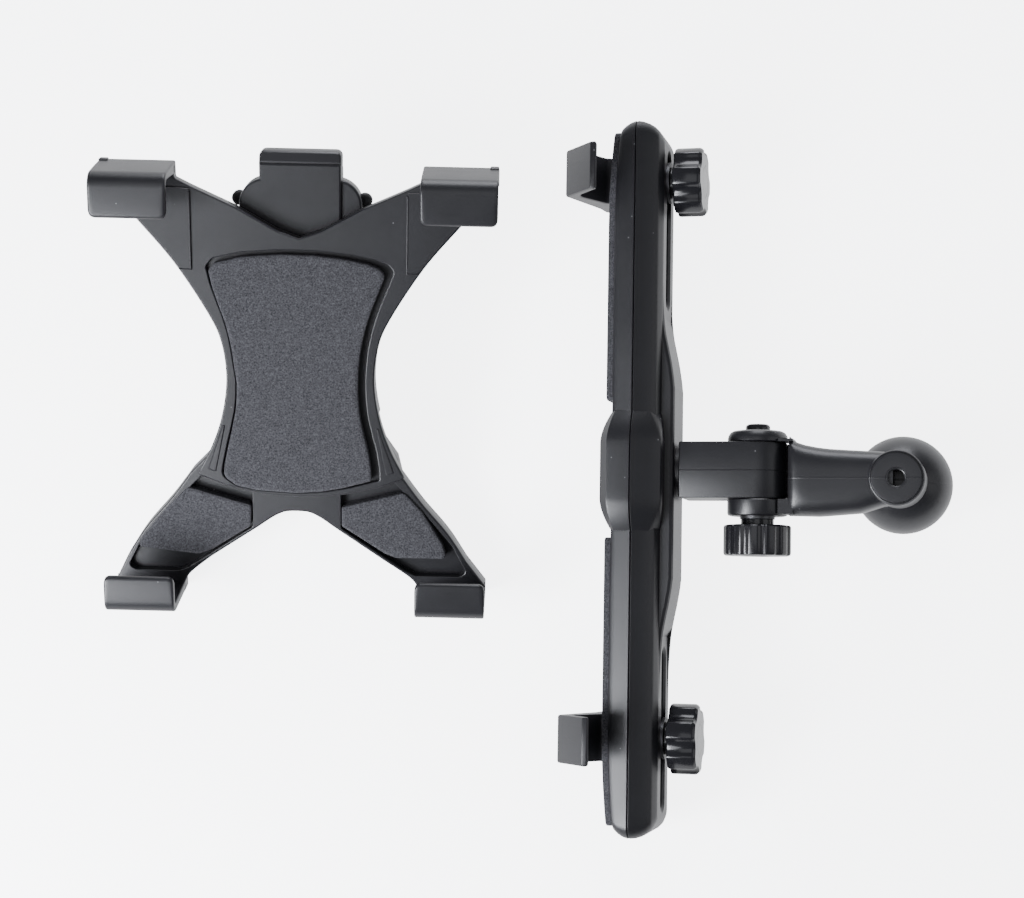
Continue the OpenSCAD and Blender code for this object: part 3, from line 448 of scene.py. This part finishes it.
# The pocket is a little wider and longer than the pad, so a dark trench runs round it
pocket_line = pad_line*[1.0657, 1.0208] + [0.88, 0]
POCKET = FACE - 1.6
plate_parts = moulding(plate_line, edge(7.0, FACE, 0.45),
    [(pocket_line, [(-0.3, FACE), (-0.06, FACE - 0.12), (0, FACE - 0.4), (0.1, POCKET)], 1, True)])
foot_x = np.interp(field_foot, waist_side[:, 1], waist_side[:, 0]) - 1.0
rim = waist_side[waist_side[:, 1] > field_foot + 0.2] - [1.0, 0]
field = np.vstack([[[inner_x, field_foot], [foot_x, field_foot]], rim,
    [[HALF_TOP - 1.0, HIGH_Y - 4.5], [inner_x, HIGH_Y - 6.2]]])
beads = [np.array([[x0, y0], [x1, y0], [x1, y1], [x0, y1]]) for x0, x1, y0, y1 in (
    (inner_x - 0.25, inner_x + 0.25, field_foot - 0.2, HIGH_Y - 7),
    (inner_x, foot_x + 0.6, field_foot - 0.25, field_foot + 0.2))]
bead_levels = [(0, FACE - 0.3), (0.02, FACE + 0.42), (0.08, FACE + 0.54), (0.2, FACE + 0.6)]
crest = np.array([[WAIST + 0.2, 6], [WAIST + 1.4, 6], [WAIST + 6.0, -7.6], [WAIST + 3.2, -8.6]])
skirt = waist_side[(waist_side[:, 1] > 9) & (waist_side[:, 1] < 58)]
skirt = np.vstack([skirt - [0.1, 0], skirt[::-1] - [1.6, 0]])
rib = np.array([[17.4, 12], [18.8, 12], [18.8, 56], [17.4, 56]])
lug = np.array([[HALF_TOP - 2.6, HIGH_Y - 1.2], [HALF_TOP - 0.1, HIGH_Y - 1.2], [HALF_TOP - 0.1, HIGH_Y + 1.2],
    [HALF_TOP - 2.6, HIGH_Y + 1.2]])
boss = np.array(arc(RAIL_X, 5, 1.98, 0, 345, 24))
for side in (-1, 1):
    plate_parts += moulding(field*[side, 1], [(0, FACE - 0.5), (0, FACE + 0.30), (0.1, FACE + 0.42)])
    for bead in beads:
        plate_parts += moulding(bead*[side, 1], bead_levels)
    plate_parts += moulding(rounded(crest*[side, 1], 0.4, 3),
        [(0, FACE - 0.3), (0.25, FACE + 0.05), (0.55, FACE + 0.22)])
    plate_parts += moulding(skirt*[side, 1], [(0.2, 3.0), (0, 3.3), (0, 8.0)])
    plate_parts += moulding(rib*[side, 1], [(0, 3.1), (0, 8.0)])
    plate_parts += moulding(rounded(lug*[side, 1], 0.4), [(0.2, 7.0), (0, 7.2), (0, 9.2), (0.3, 9.6)])
    plate_parts += moulding(boss*[side, 1], [(0.2, 5.12), (0, 5.3), (0, 7.5)])
for x in (-HALF_TOP, upper_in):
    plate_parts += hook(x, x + 21.0, HIGH_Y, 1, 12.4, 7.2, 0.8)
piece("sliding_plate_moulding", plate_parts, on_cradle, SATIN, "slide_plate", ["front_plate"])

# The foam pads: die-cut closed-cell foam, dark grey with paler flecks, stuck into the plate's pocket
# and into the recesses of the two lower arms. Their cut edges are square, with a slightly soft rim.


def foam(name, dark, pale, scale):
    """Closed-cell foam: pale cell walls over dark cells, softly mottled, with a pitted surface."""
    material, shader, where = finish_of(name, specular=0.25)
    cell = where.node("ShaderNodeTexVoronoi", Vector=where, Scale=scale)
    grit = where.node("ShaderNodeTexNoise", Vector=where, Scale=0.9*scale, Detail=4.0, Roughness=0.75)
    mottle = where.node("ShaderNodeTexNoise", Vector=where, Scale=0.22*scale, Detail=3.0)
    fleck = (0.95*grit + 0.10*mottle + 0.20*cell).above(0.44, 0.82)
    feed(shader, Base_Color=mixed(fleck, dark, pale))
    feed(shader, Roughness=0.82 + 0.12*grit)
    feed(shader, Normal=cell.node("ShaderNodeBump", Height=0.6*cell + 0.8*grit, Strength=0.6, Distance=0.00012))
    return material


FOAM = foam("speckled_foam", (0.009, 0.009, 0.011), (0.075, 0.075, 0.083), 2300.0)


def cushion(outline, low, high, r=0.45, crown=0.12):
    """A die-cut pad between two heights whose rim is turned by r and whose middle stands crown proud."""
    return moulding(outline, [(0.15, low), (0, low + 0.15), (0, high - r), (0.13*r, high - 0.5*r),
        (0.5*r, high - 0.13*r), (r, high), (r + 0.4, high + crown)])


middle_pad = piece("middle_foam_pad", cushion(pad_line, POCKET, FACE + 1.15), on_cradle, FOAM, "slide_plate",
    ["centre_pad"])
left_arm_pad = rounded([[-13.2, -19.4], [-15.2, -19.0], [-31.4, -14.4], [-38.4, -21.6], [-45.4, -30.5],
    [-46.4, -33.2], [-29, -35.1], [-25.6, -33.8], [-13.3, -26.0]], [1.5, 2, 1.2, 8, 1.5, 0.8, 3, 3, 2])
right_arm_pad = rounded([[13.1, -19.6], [31.2, -14.7], [36.6, -20.6], [42.6, -30.5], [43.9, -34.9], [29, -34.9],
    [25.6, -33.6], [13.1, -25.4]], [0.6, 1.8, 6, 6, 1.2, 3, 3, 0.8])
for name, line in (("left", left_arm_pad), ("right", right_arm_pad)):
    pad = piece(name + "_foam_pad", cushion(line - [ARM_SLIP, 0], PAD_FLOOR, DECK + 0.75), on_cradle, FOAM, "mount",
        [name + "_pad"])

# The two round rubber bumpers in the tongue's sides, which the plate's skirt stops against.


def spun(profile, at=(0.0, 0.0), steps=48, wave=None):
    """Rings (at + r (cos t, sin t), h) for each (r, h) of a profile; wave(t, i) scales ring i's radius.
    A profile that starts or ends at r = 0 closes in a point."""
    t = np.linspace(0, 2*math.pi, steps, endpoint=False)
    rings = []
    for i, (r, h) in enumerate(profile):
        q = r*(np.ones(steps) if wave is None else wave(t, i))
        rings.append(np.column_stack([at[0] + q*np.cos(t), at[1] + q*np.sin(t), np.full(steps, h)]))
    return [wall(rings)]


RUBBER = plastic("black_rubber", (0.016, 0.016, 0.017), 0.62, 0.5, 0.3)
bumper_profile = [(0, 0)] + arc(1.6, 0.5, 0.5, -90, 0, 4) + arc(1.1, 1.8, 1.0, 0, 90, 6) + [(0, 2.8)]
bumper_parts = spun(bumper_profile, (-17.6, 69.6), 32) + spun(bumper_profile, (17.6, 69.6), 32)
piece("tongue_bumpers", bumper_parts, on_cradle, RUBBER, "mount", ["side_bumpers"])

# Behind the cradle: the cover with its split socket, which comes from the part file and takes the satin
# finish below, and the ribbed nut that closes the socket on the ball, a plain glossy moulding. The photograph shows
# neither.
GLOSS = plastic("gloss_black_plastic", (0.009, 0.009, 0.011), 0.15, 0.10, dust=0.2)
NUT_R, NUT_BACK, SOCKET_Y, CUP_R = 20.0, 23.0, 29.0, 16.5
nut_profile = [(14.8, 0.0), (18.6, 0.0)] + arc(NUT_R - 1, 1.0, 1.0, -70, 0, 4) + [(NUT_R, 1.6), (NUT_R, 2.4),
    (NUT_R, 12.6), (NUT_R - 0.3, 13.6), (NUT_R - 0.8, 14), (CUP_R + 0.35, 14), (CUP_R + 0.05, 13.7),
    (CUP_R + 0.05, 2.7), (15.55, 1.6), (14.8, 1.6), (14.8, 0.0)]
ribs = lambda t, i: 1 - (0.019*(1 - np.clip(1.6*np.cos(24*t), -1, 1)) if 3 <= i <= 8 else 0*t)
nut = [(v + [0, SOCKET_Y, -NUT_BACK], f, s) for v, f, s in spun(nut_profile, steps=288, wave=ribs)]
piece("socket_nut", nut, on_cradle, GLOSS, "socket_nut", ["locking_nut"])

BLACK_STEEL = plastic("blackened_steel", (0.10, 0.10, 0.105), 0.30, 0.10, metallic=0.9)
ZINC = plastic("bright_zinc", (0.55, 0.56, 0.58), 0.30, 0.12, metallic=1.0)
for finish, names in ((SATIN, ["rear_cover"]),
        (ZINC, ["cover_screws", "guide_screws", "guide_washers", "shell_screws"])):
    for name in names:
        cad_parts[name].data.materials.clear()
        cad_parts[name].data.materials.append(finish)

# The two return springs: coils of steel wire in the rear body's channels, from the plate's bosses to
# the channels' upper ends. The bosses press them together as the plate slides out.
SPRING_FOOT, SPRING_TOP, SPRING_Z, COIL_R, WIRE_R, TURNS = 7.3, 77.2, 2.75, 2.2, 0.32, 15


def coil(x, way):
    """A wire along a helix (r cos a, h, r sin a), whose height h grows evenly with the angle a"""
    a = np.linspace(0, 2*math.pi*TURNS, 18*TURNS + 1)[:, None]
    b = np.linspace(0, 2*math.pi, 8, endpoint=False)
    height = SPRING_FOOT + WIRE_R + (SPRING_TOP - SPRING_FOOT - 2*WIRE_R)*a/a[-1]
    out = COIL_R + WIRE_R*np.cos(b)
    rings = np.stack([x + way*out*np.cos(a), height + WIRE_R*np.sin(b), SPRING_Z + out*np.sin(a)], -1)
    return [wall(rings), (rings[0], [list(range(8))], False), (rings[-1], [list(range(8))], False)]


springs = piece("return_spring_coils", coil(RAIL_X, 1) + coil(-RAIL_X, -1), on_cradle, ZINC, None,
    ["return_springs"], crease=60)
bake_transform(springs)

# The bracket's bar: two long shells that meet at a seam along its narrow side. Their ends are rounded,
# a swelling round the arm's root stands out of both, and two slots go through for the hook bolts.
BRACKET_AT, BRACKET_TILT, BRACKET_TURN = (22.0, 0.2, 17.32882), -14.182952, -1.0
BAR_BACK, SWELL_Y, SLOT_IN, SLOT_OUT, SLOT_R, SLOT_FLARE = 17.0, 1.0, 52.0, 92.3, 2.8, 3.7
STOPS, END_R = (-94, -88, -81, -72, 72, 81, 88, 94), 4.5


def on_bracket(points):
    return laid(points, BRACKET_AT, BRACKET_TILT, BRACKET_TURN, about="y")


def slot_loop(side, r):
    """A slot's outline (y, z): straight sides and round ends of radius r"""
    low, high = sorted((side*SLOT_IN, side*SLOT_OUT))
    return np.array(arc(high, 0, r, -90, 90, 9) + arc(low, 0, r, 90, 270, 9))


def bar_loop(low, high, w, r, steps=6):
    """A rectangle (y, z) from low to high, of half-width w and corner radius r, with points at the STOPS
    between, so that it can be bent."""
    stops = [y for y in STOPS if low < y < high]
    near, far = [[y, -w] for y in stops], [[y, w] for y in stops[::-1]]
    flat = [0]*len(stops)
    return rounded([[low, -w], *near, [high, -w], [high, w], *far, [low, w]], [r, *flat, r, r, *flat, r], steps)


def bar_shell(profile):
    """A shell whose wall passes through a rounded rectangle of half-length l and half-width w at each
    (x, l, w) of a profile, closed by flat faces, with both slots cut through."""
    loops = [bar_loop(-l, l, w, END_R, 8) for _, l, w in profile]
    rings = [np.column_stack([loop, np.full(len(loop), x)]) for loop, (x, _, _) in zip(loops, profile)]
    x0, x1 = profile[0][0], profile[-1][0]
    flare = SLOT_FLARE if x1 > BAR_BACK - 1 else SLOT_R
    parts = [wall(rings), lid(loops[0], [slot_loop(side, SLOT_R) for side in (-1, 1)], x0),
        lid(loops[-1], [slot_loop(side, flare) for side in (-1, 1)], x1)]
    parts += [wall([np.column_stack([slot_loop(side, r), np.full(18, x)]) for r, x in
        ((SLOT_R, x0), (SLOT_R, x1 - 0.7), (flare, x1))]) for side in (-1, 1)]
    return [(v[:, [2, 0, 1]], f, s) for v, f, s in parts]


def bent(parts):
    """The bar's face falls back towards its ends: x grows by 1.6 ((|y| - 72)/28)^2 at the face and by
    nothing at the seam."""
    for v, _, _ in parts:
        v[:, 0] += 1.6*np.clip((np.abs(v[:, 1]) - 72)/28, 0, 1.1)**2*np.clip((9.3 - v[:, 0])/6, 0, 1)
    return parts


def swelling(flat, swollen):
    """The swelling of a shell, from sections (x, z) of the upper half at b = 0 and b = 1. Along y the share
    b is 1 within 8 mm of the middle and falls as 1 - ((|y| - 8)/9)^1.7 on either side."""
    y = np.concatenate([np.linspace(-17, -8, 13), np.linspace(-6, 6, 5), np.linspace(8, 17, 13)])
    rings = []
    for place in y:
        b = 1 - np.clip((abs(place) - 8)/9, 0, 1)**1.7
        half = (1 - b)*np.array(flat, float) + b*np.array(swollen, float)
        line = np.vstack([half, half[::-1]*[1, -1]])
        rings.append(np.column_stack([line[:, 0], np.full(len(line), SWELL_Y + place), line[:, 1]]))
    ends = [lid(ring[:, [0, 2]], [], ring[0, 1]) for ring in (rings[0], rings[-1])]
    return [wall(rings)] + [(v[:, [0, 2, 1]], f, s) for v, f, s in ends]


front_profile = [(3.5, 98.9, 12.9), (3.6, 99.4, 13.4), (3.85, 99.9, 13.75), (4.3, 100.3, 14.0), (5.4, 101.1, 14.25),
    (7.2, 101.9, 14.62), (9.3, 102.3, 15.0), (9.52, 102.2, 14.9), (9.58, 101.9, 14.55), (9.6, 101.4, 14.0)]
rear_profile = [(9.72, 101.4, 14.0), (9.74, 101.9, 14.55), (9.8, 102.2, 14.9), (9.95, 102.3, 14.97),
    (11.4, 102.2, 14.2), (13.0, 101.7, 13.25), (14.4, 100.9, 12.35), (15.6, 99.7, 11.45), (15.85, 99.3, 11.1),
    (16.1, 98.9, 10.6), (16.6, 97.9, 9.4), (16.85, 97.3, 8.8), (BAR_BACK, 96.7, 8.2)]
front_swell = swelling([(9.6, 14.0), (9.52, 14.8), (9.35, 14.9), (5.6, 14.7), (4.6, 14.4), (4.3, 14.0), (3.7, 13.2),
    (3.6, 12.4)], [(9.6, 17.0), (9.52, 17.9), (9.35, 18.0), (3.5, 18.0), (2.95, 17.9), (2.7, 17.6), (0.62, 15.3),
    (0.5, 14.7)])
rear_swell = swelling([(9.72, 14.0), (9.8, 14.8), (9.95, 14.9), (13.2, 13.1), (14.2, 12.5), (14.5, 12.2), (16.6, 9.0),
    (16.9, 8.2)], [(9.72, 17.0), (9.8, 17.9), (9.95, 18.0), (14.6, 15.3), (17.1, 13.8), (17.6, 13.4), (17.95, 12.7),
    (18.0, 12.0)])
# The rib along the back: two flanks that run out beside the slots, and between them the middle, which
# ends before the slots so that the washers' way is flat
HUMP_ROOT, TRACK_END = 15.0, 45.6
hump_side = smooth([[-64, 17.0], [-54, 17.25], [-46, 17.8], [-41, 18.6], [-36, 19.6], [-30, 20.5], [-24, 20.6],
    [20, 20.6], [26, 20.5], [32, 19.7], [37, 18.7], [42, 17.7], [48, 17.15], [56, 17.0]], 4)
hump_line = np.vstack([hump_side[:, ::-1], [[HUMP_ROOT, 56], [HUMP_ROOT, -64]]])
raised = hump_side[np.abs(hump_side[:, 0]) < TRACK_END - 1.2, ::-1]
middle_line = np.vstack([[[BAR_BACK, -TRACK_END]], raised, [[BAR_BACK, TRACK_END], [HUMP_ROOT, TRACK_END],
    [HUMP_ROOT, -TRACK_END]]])
hump = moulding(middle_line, [(0, -6.4), (0, 6.4)])
hump += moulding(hump_line, [(1.1, -8.5), (0.35, -8.15), (0, -7.4), (0, -6.3)])
hump += moulding(hump_line, [(0, 6.3), (0, 7.4), (0.35, 8.15), (1.1, 8.5)])
piece("bar_front_moulding", bent(bar_shell(front_profile)) + front_swell, on_bracket, SATIN, "mount",
    ["front_shell"], crease=24)
piece("bar_rear_moulding", bar_shell(rear_profile) + rear_swell + hump, on_bracket, SATIN, "mount",
    ["rear_shell"], crease=24)

# A foam strip on each half of the bar's face, cut round the slot, which the headrest posts bear on
for name, low, high, side in (("upper", 21.2, 98.9, 1), ("lower", -98.9, -17.8, -1)):
    strip = moulding(bar_loop(low, high, 13, 1.5), [(0.3, 1.7), (0.06, 1.84), (0, 2.1), (0, 3.5)],
        [(slot_loop(side, SLOT_R + 0.6), [(0, 1.7), (0, 3.5)], 1, False)], axes="yzx")
    strip = piece(name + "_strip_of_foam", bent(strip), on_bracket, FOAM, "mount", [name + "_foam_strip"])

# The first arm: a square block that stands out of the bar on a round neck and ends in the middle
# knuckle of the hinge. A mould line runs round it, two small slots are cut in its lower face, and a low
# rib under the knuckle closes the gap to the second arm.
HINGE, STEM_TOP, STEM_FOOT, STEM_IN, STEM_R = 43.5, 9.8, -6.3, 21.9, 8.5
block = rounded([[HINGE, STEM_R], [STEM_IN, STEM_R], [STEM_IN, -STEM_R], [HINGE, -STEM_R]], [0, 0.7, 0.7, 0], 4)
stem_line = np.vstack([arc(HINGE, 0, STEM_R, -90, 90, 25), block[1:-1]])
marks = [(np.array([[32.6, z], [37.6, z], [37.6, z + 0.9], [32.6, z + 0.9]]),
    [(0, STEM_FOOT), (0, STEM_FOOT + 1.2)], -1, True) for z in (-1.9, 1.2)]
stem_parts = moulding(stem_line, [(0.6, STEM_FOOT), (0.18, STEM_FOOT + 0.15), (0, STEM_FOOT + 0.6), (0, 1.5),
    (0.12, 1.58), (0.12, 1.66), (0, 1.74), (0, STEM_TOP - 0.6), (0.18, STEM_TOP - 0.15), (0.6, STEM_TOP)], marks,
    axes="xzy")
rib_line = arc(HINGE, 0, 9.25, -58, -4, 12) + arc(HINGE, 0, 8.0, -4, -58, 7)
stem_parts += moulding(np.array(rib_line), [(0, STEM_FOOT + 0.3), (0, STEM_TOP - 0.3)], axes="xzy")
neck = [(v[:, [2, 0, 1]] + [0, 1.75, 0], f, s) for v, f, s in
    spun([(0, 13.8), (10, 13.8), (10, 16.2), (6.9, 16.2), (6.9, 22.3), (0, 22.3)])]
piece("first_arm_moulding", stem_parts + neck, on_bracket, SATIN, "mount", ["stem_arm"], crease=28)

# The second arm: a fork round the knuckle, a thick web and a round end with the ball hanging from it,
# all one glossy moulding. Its mould line runs along the web and over the ball.
BALL_X, BALL_Y, BALL_R, BALL_DROP = 83.0, -0.6, 14.3, 24.1


def upright(parts, x, z):
    """Parts (a, b, h) turned so that h runs along y, at x and z"""
    return [(v[:, [0, 2, 1]] + [x, 0, z], f, s) for v, f, s in parts]


def web_section(x):
    """The web's section (y, z) at x, for t round it: y = middle + half sign(cos t) |cos t|^0.62 and, on the
    upper side, z = -1 + (crown + 1) |sin t|^0.42, an arch that is highest at the mould line"""
    top = np.interp(x, [52.9, 53.6, 54.9, 57.3, 60.8, 64.3, 70, 79, 84],
        [11.6, 10.9, 9.9, 9.1, 8.4, 7.95, 7.6, 7.1, 6.8])
    foot = np.interp(x, [52, 61.5, 73, 79, 84], [-11.1, -11.3, -10.3, -8.4, -7.6])
    crown = np.interp(x, [52.9, 53.5, 54.3, 55.4, 57, 78, 84], [6.9, 7.6, 8.1, 8.35, 8.5, 8.5, 8.3])
    middle, half = (top + foot)/2, (top - foot)/2
    t = np.radians(np.concatenate([np.linspace(4, 176, 33), np.linspace(194, 346, 9)]))
    c, s = np.cos(t), np.sin(t)
    y = middle + half*np.sign(c)*np.abs(c)**0.62
    z = np.where(s > 0, -1 + (crown + 1)*np.abs(s)**0.42, -1 - 1.0*np.abs(s)**0.5)
    return np.column_stack([np.full(len(t), x), y, z])


def seamed(material, along, place, width):
    """Adds a fine mould line to a material: a bump where |across - place|, the distance from a plane, is
    under width."""
    tree = material.node_tree
    shader = tree.nodes["Principled BSDF"]
    where = Flow(tree, next(n for n in tree.nodes if n.type == "TEX_COORD").outputs["Object"])
    across = where.node("ShaderNodeVectorMath", {"operation": "DOT_PRODUCT"}, 1, _0=where, _1=tuple(along))
    line = 1 - (across - place).math("ABSOLUTE", across - place).above(0.3*width, width)
    before = Flow(tree, shader.inputs["Normal"].links[0].from_socket)
    feed(shader, Normal=line.node("ShaderNodeBump", Height=line, Normal=before, Strength=0.35, Distance=0.00012))
    return material


seam_plane = on_bracket([[0, BALL_Y, 0], [0, BALL_Y + 1, 0]])
seam_way = (seam_plane[1] - seam_plane[0])/MM
ARM_GLOSS = seamed(plastic("arm_gloss_plastic", (0.010, 0.010, 0.012), 0.30, 0.12, dust=0.15), seam_way,
    float(seam_way @ seam_plane[0]), 0.00022)
web_rings = [web_section(x) for x in (52.9, 53.2, 53.6, 54.2, 54.9, 55.9, 57.3, 59, 61, 64, 67, 70, 73, 76, 79, 82)]
web_ends = [lid(ring[:, 1:], [], ring[0, 0]) for ring in (web_rings[0], web_rings[-1])]
arm_parts = [wall(web_rings)] + [(v[:, [2, 0, 1]], f, s) for v, f, s in web_ends]
ear = arc(HINGE, 0, 8.6, 0, 352, 45)
link = [[50.0, -1.6], [54.2, -1.6], [54.2, 6.6], [50.0, 6.6]]
for outline, levels in (
        (ear, [(0.3, 9.9), (0, 10.1), (0, 11.0), (0.25, 11.9), (0.8, 12.7), (1.6, 13.15), (2.6, 13.3)]),
        (ear, [(0.9, -11.1), (0.25, -10.9), (0, -10.3), (0, -6.7), (0.2, -6.45)]),
        (link, [(0, 9.9), (0, 10.6)]), (link, [(0, -10.7), (0, -6.45)])):
    arm_parts += moulding(outline, levels, axes="xzy")
disc = [(0, 0.6), (2.25, 0.6), (2.3, 9.0), (2.62, 9.18), (2.85, 9.16), (2.95, 9.3), (6.7, 9.42), (6.95, 9.36),
    (7.02, 9.05), (7.12, 9.05), (7.2, 9.3), (7.5, 9.2), (7.8, 8.7), (7.8, -5.6), (7.4, -6.0), (5.9, -6.3),
    (5.6, -7.0), (5.6, -9.6)]
ball = [(BALL_R*math.sin(t), -BALL_DROP + BALL_R*math.cos(t)) for t in np.radians(np.linspace(23.5, 180, 40))]
ball[-1] = (0, -BALL_DROP - BALL_R)
arm_parts += [(v + [BALL_X, BALL_Y, 0], f, s) for v, f, s in spun(disc + ball, steps=72)]
piece("second_arm_moulding", arm_parts, on_bracket, ARM_GLOSS, "arm", ["ball_arm"], crease=26)

# The hinge: a round-headed bolt through fork and knuckle, a steel washer, and a fluted knob that is
# moulded round a captive hexagon nut.
bolt_profile = [(0, -20.6), (2.3, -20.6), (2.5, -20.3), (2.5, 13.3), (3.5, 13.3), (3.5, 14.4), (3.3, 14.9),
    (2.8, 15.2), (0, 15.3)]
piece("hinge_bolt_turned", upright(spun(bolt_profile, steps=36), HINGE, 0), on_bracket, GLOSS, "arm", ["hinge_bolt"])
washer_profile = [(2.65, -11.9), (5.0, -11.9), (5.0, -11.12), (2.65, -11.12), (2.65, -11.9)]
piece("hinge_washer_ring", upright(spun(washer_profile, steps=40), HINGE, 0), on_bracket, BLACK_STEEL, "arm",
    ["hinge_washer"])


def lobed(r, lobes, groove, depth, steps, phase=0.0):
    """A knob's outline: radius r, less round grooves of radius groove and the given depth between lobes,
    the first of them phase degrees round. A groove's circle stands at D = r + groove - depth, so a ray at
    angle a from it ends at D cos a - sqrt(groove^2 - D^2 sin^2 a). Two averages soften the edges."""
    t = np.linspace(0, 2*math.pi, steps, endpoint=False)
    a = (t - math.radians(phase) + math.pi/lobes) % (2*math.pi/lobes) - math.pi/lobes
    d = r + groove - depth
    inside = groove**2 - (d*np.sin(a))**2
    reach = np.where(inside > 0, d*np.cos(a) - np.sqrt(np.maximum(inside, 0)), r)
    radius = np.minimum(reach, r)
    for _ in range(2):
        radius = 0.5*radius + 0.25*(np.roll(radius, 1) + np.roll(radius, -1))
    return np.column_stack([radius*np.cos(t), radius*np.sin(t)])


hexagon = lambda r: np.array([[r*math.cos(t), r*math.sin(t)] for t in np.radians(np.arange(0, 360, 60))])
NUT_HEX, NUT_HOLE, NUT_BORE = 4.62, 4.75, 2.5
grip = moulding(lobed(9.6, 12, 1.6, 0.5, 240, 15.0),
    [(0.7, -22.4), (0.2, -22.15), (0, -21.6), (0, -14.2), (0.25, -13.75), (0.8, -13.6)],
    [(hexagon(NUT_HOLE), [(-0.1, -22.4), (0, -22.2), (0, -18.4)], -1, True)])
hub = spun([(0, -13.8), (4.7, -13.8), (4.7, -12.1), (4.5, -11.9), (0, -11.9)], steps=40)
piece("hinge_knob_moulding", upright(grip + hub, HINGE, 0), on_bracket, GLOSS, "arm_knob", ["hinge_knob"],
    crease=28)
nut = moulding(hexagon(NUT_HEX), [(0.5, 0.0), (0, 0.3), (0, 3.7), (0.5, 4.0)],
    [(hexagon(NUT_BORE), [(0, 0.0), (0, 4.0)], 1, False)])
piece("hinge_knob_insert", [(v + [HINGE, -22.0, 0], f, s) for v, f, s in upright(nut, 0, 0)], on_bracket,
    BLACK_STEEL, "arm_knob", ["hinge_knob_nut"])

# A clamp for each headrest post: a V-shaped hook whose foot lies on the foam, a bolt through the slot
# with its head in the hook's foot, a washer behind the bar, and a six-lobed knob on a captive nut.
post_hook_line = rounded([[-3.2, -7.6], [-3.9, -2], [-10.2, 17.5], [-0.7, 28.2], [0.9, 28.2], [0.9, 26.4],
    [-6.15, 17.9], [-0.2, 6.6], [1.4, 6.2], [1.4, -7.6]], [1, 2, 1.6, 0.5, 0.5, 0.8, 4, 3, 0.8, 0.8], 7)
post_hook = moulding(post_hook_line, [(0.75, -6.75), (0.22, -6.6), (0, -6.1), (0, 6.1), (0.22, 6.6), (0.75, 6.75)],
    axes="xzy")


def lengthwise(profile, steps):
    """A turned piece whose axis is the bolt's, along x"""
    return [(v[:, [2, 0, 1]], f, s) for v, f, s in spun(profile, steps=steps)]


foot = lengthwise([(4.7, -3.6), (4.7, -4.9), (4.9, -5.2), (5.7, -5.2), (6.0, -4.9), (6.0, 1.0), (5.6, 1.4),
    (0, 1.4)], 48)
hook_bolt = lengthwise([(0, -7.95), (1.6, -7.85), (3.2, -7.5), (4.1, -7.0), (4.4, -6.5), (4.4, -5.2), (2.5, -5.15),
    (2.5, 27.0), (2.3, 27.3), (0, 27.3)], 36)
post_washer = lengthwise([(2.7, 17.03), (6.0, 17.03), (6.0, 17.85), (2.7, 17.85), (2.7, 17.03)], 40)
knob_hub = lengthwise([(0, 17.9), (4.5, 17.9), (4.7, 18.1), (4.7, 19.6), (0, 19.6)], 40)
knob_nut = moulding(hexagon(NUT_HEX), [(0.5, 20.22), (0, 20.5), (0, 23.8), (0.5, 24.2)],
    [(hexagon(NUT_BORE), [(0, 20.22), (0, 24.2)], 1, False)], axes="yzx")
for end, y, phase in (("upper", 86.2, 0.0), ("lower", -74.7, 42.0)):
    knob = knob_hub + moulding(lobed(10.0, 6, 3.6, 1.5, 216, phase),
        [(0.7, 19.3), (0.2, 19.5), (0, 20.0), (0, 26.5), (0.25, 27.1), (0.8, 27.6)],
        [(hexagon(NUT_HOLE), [(0, 20.2), (0, 27.4), (-0.2, 27.6)], 1, True)], axes="yzx")
    place = lambda points, y=y: on_bracket(points + [0, y, 0])
    for name, parts, finish, body, node, slot, crease in (
            ("_post_hook", post_hook + foot, SATIN, "_swivel", "_hook", "gloss_plastic", 28),
            ("_hook_bolt_turned", hook_bolt, BLACK_STEEL, "_clamp", "_hook_bolt", "steel", 32),
            ("_post_washer", post_washer, BLACK_STEEL, "_carriage", "_washer", "steel", 32),
            ("_clamp_knob", knob, GLOSS, "_knob_body", "_knob", "gloss_plastic", 28),
            ("_knob_insert", knob_nut, BLACK_STEEL, "_knob_body", "_knob_nut", "steel", 32)):
        piece(end + name, parts, place, finish, end + body, [end + node], crease)
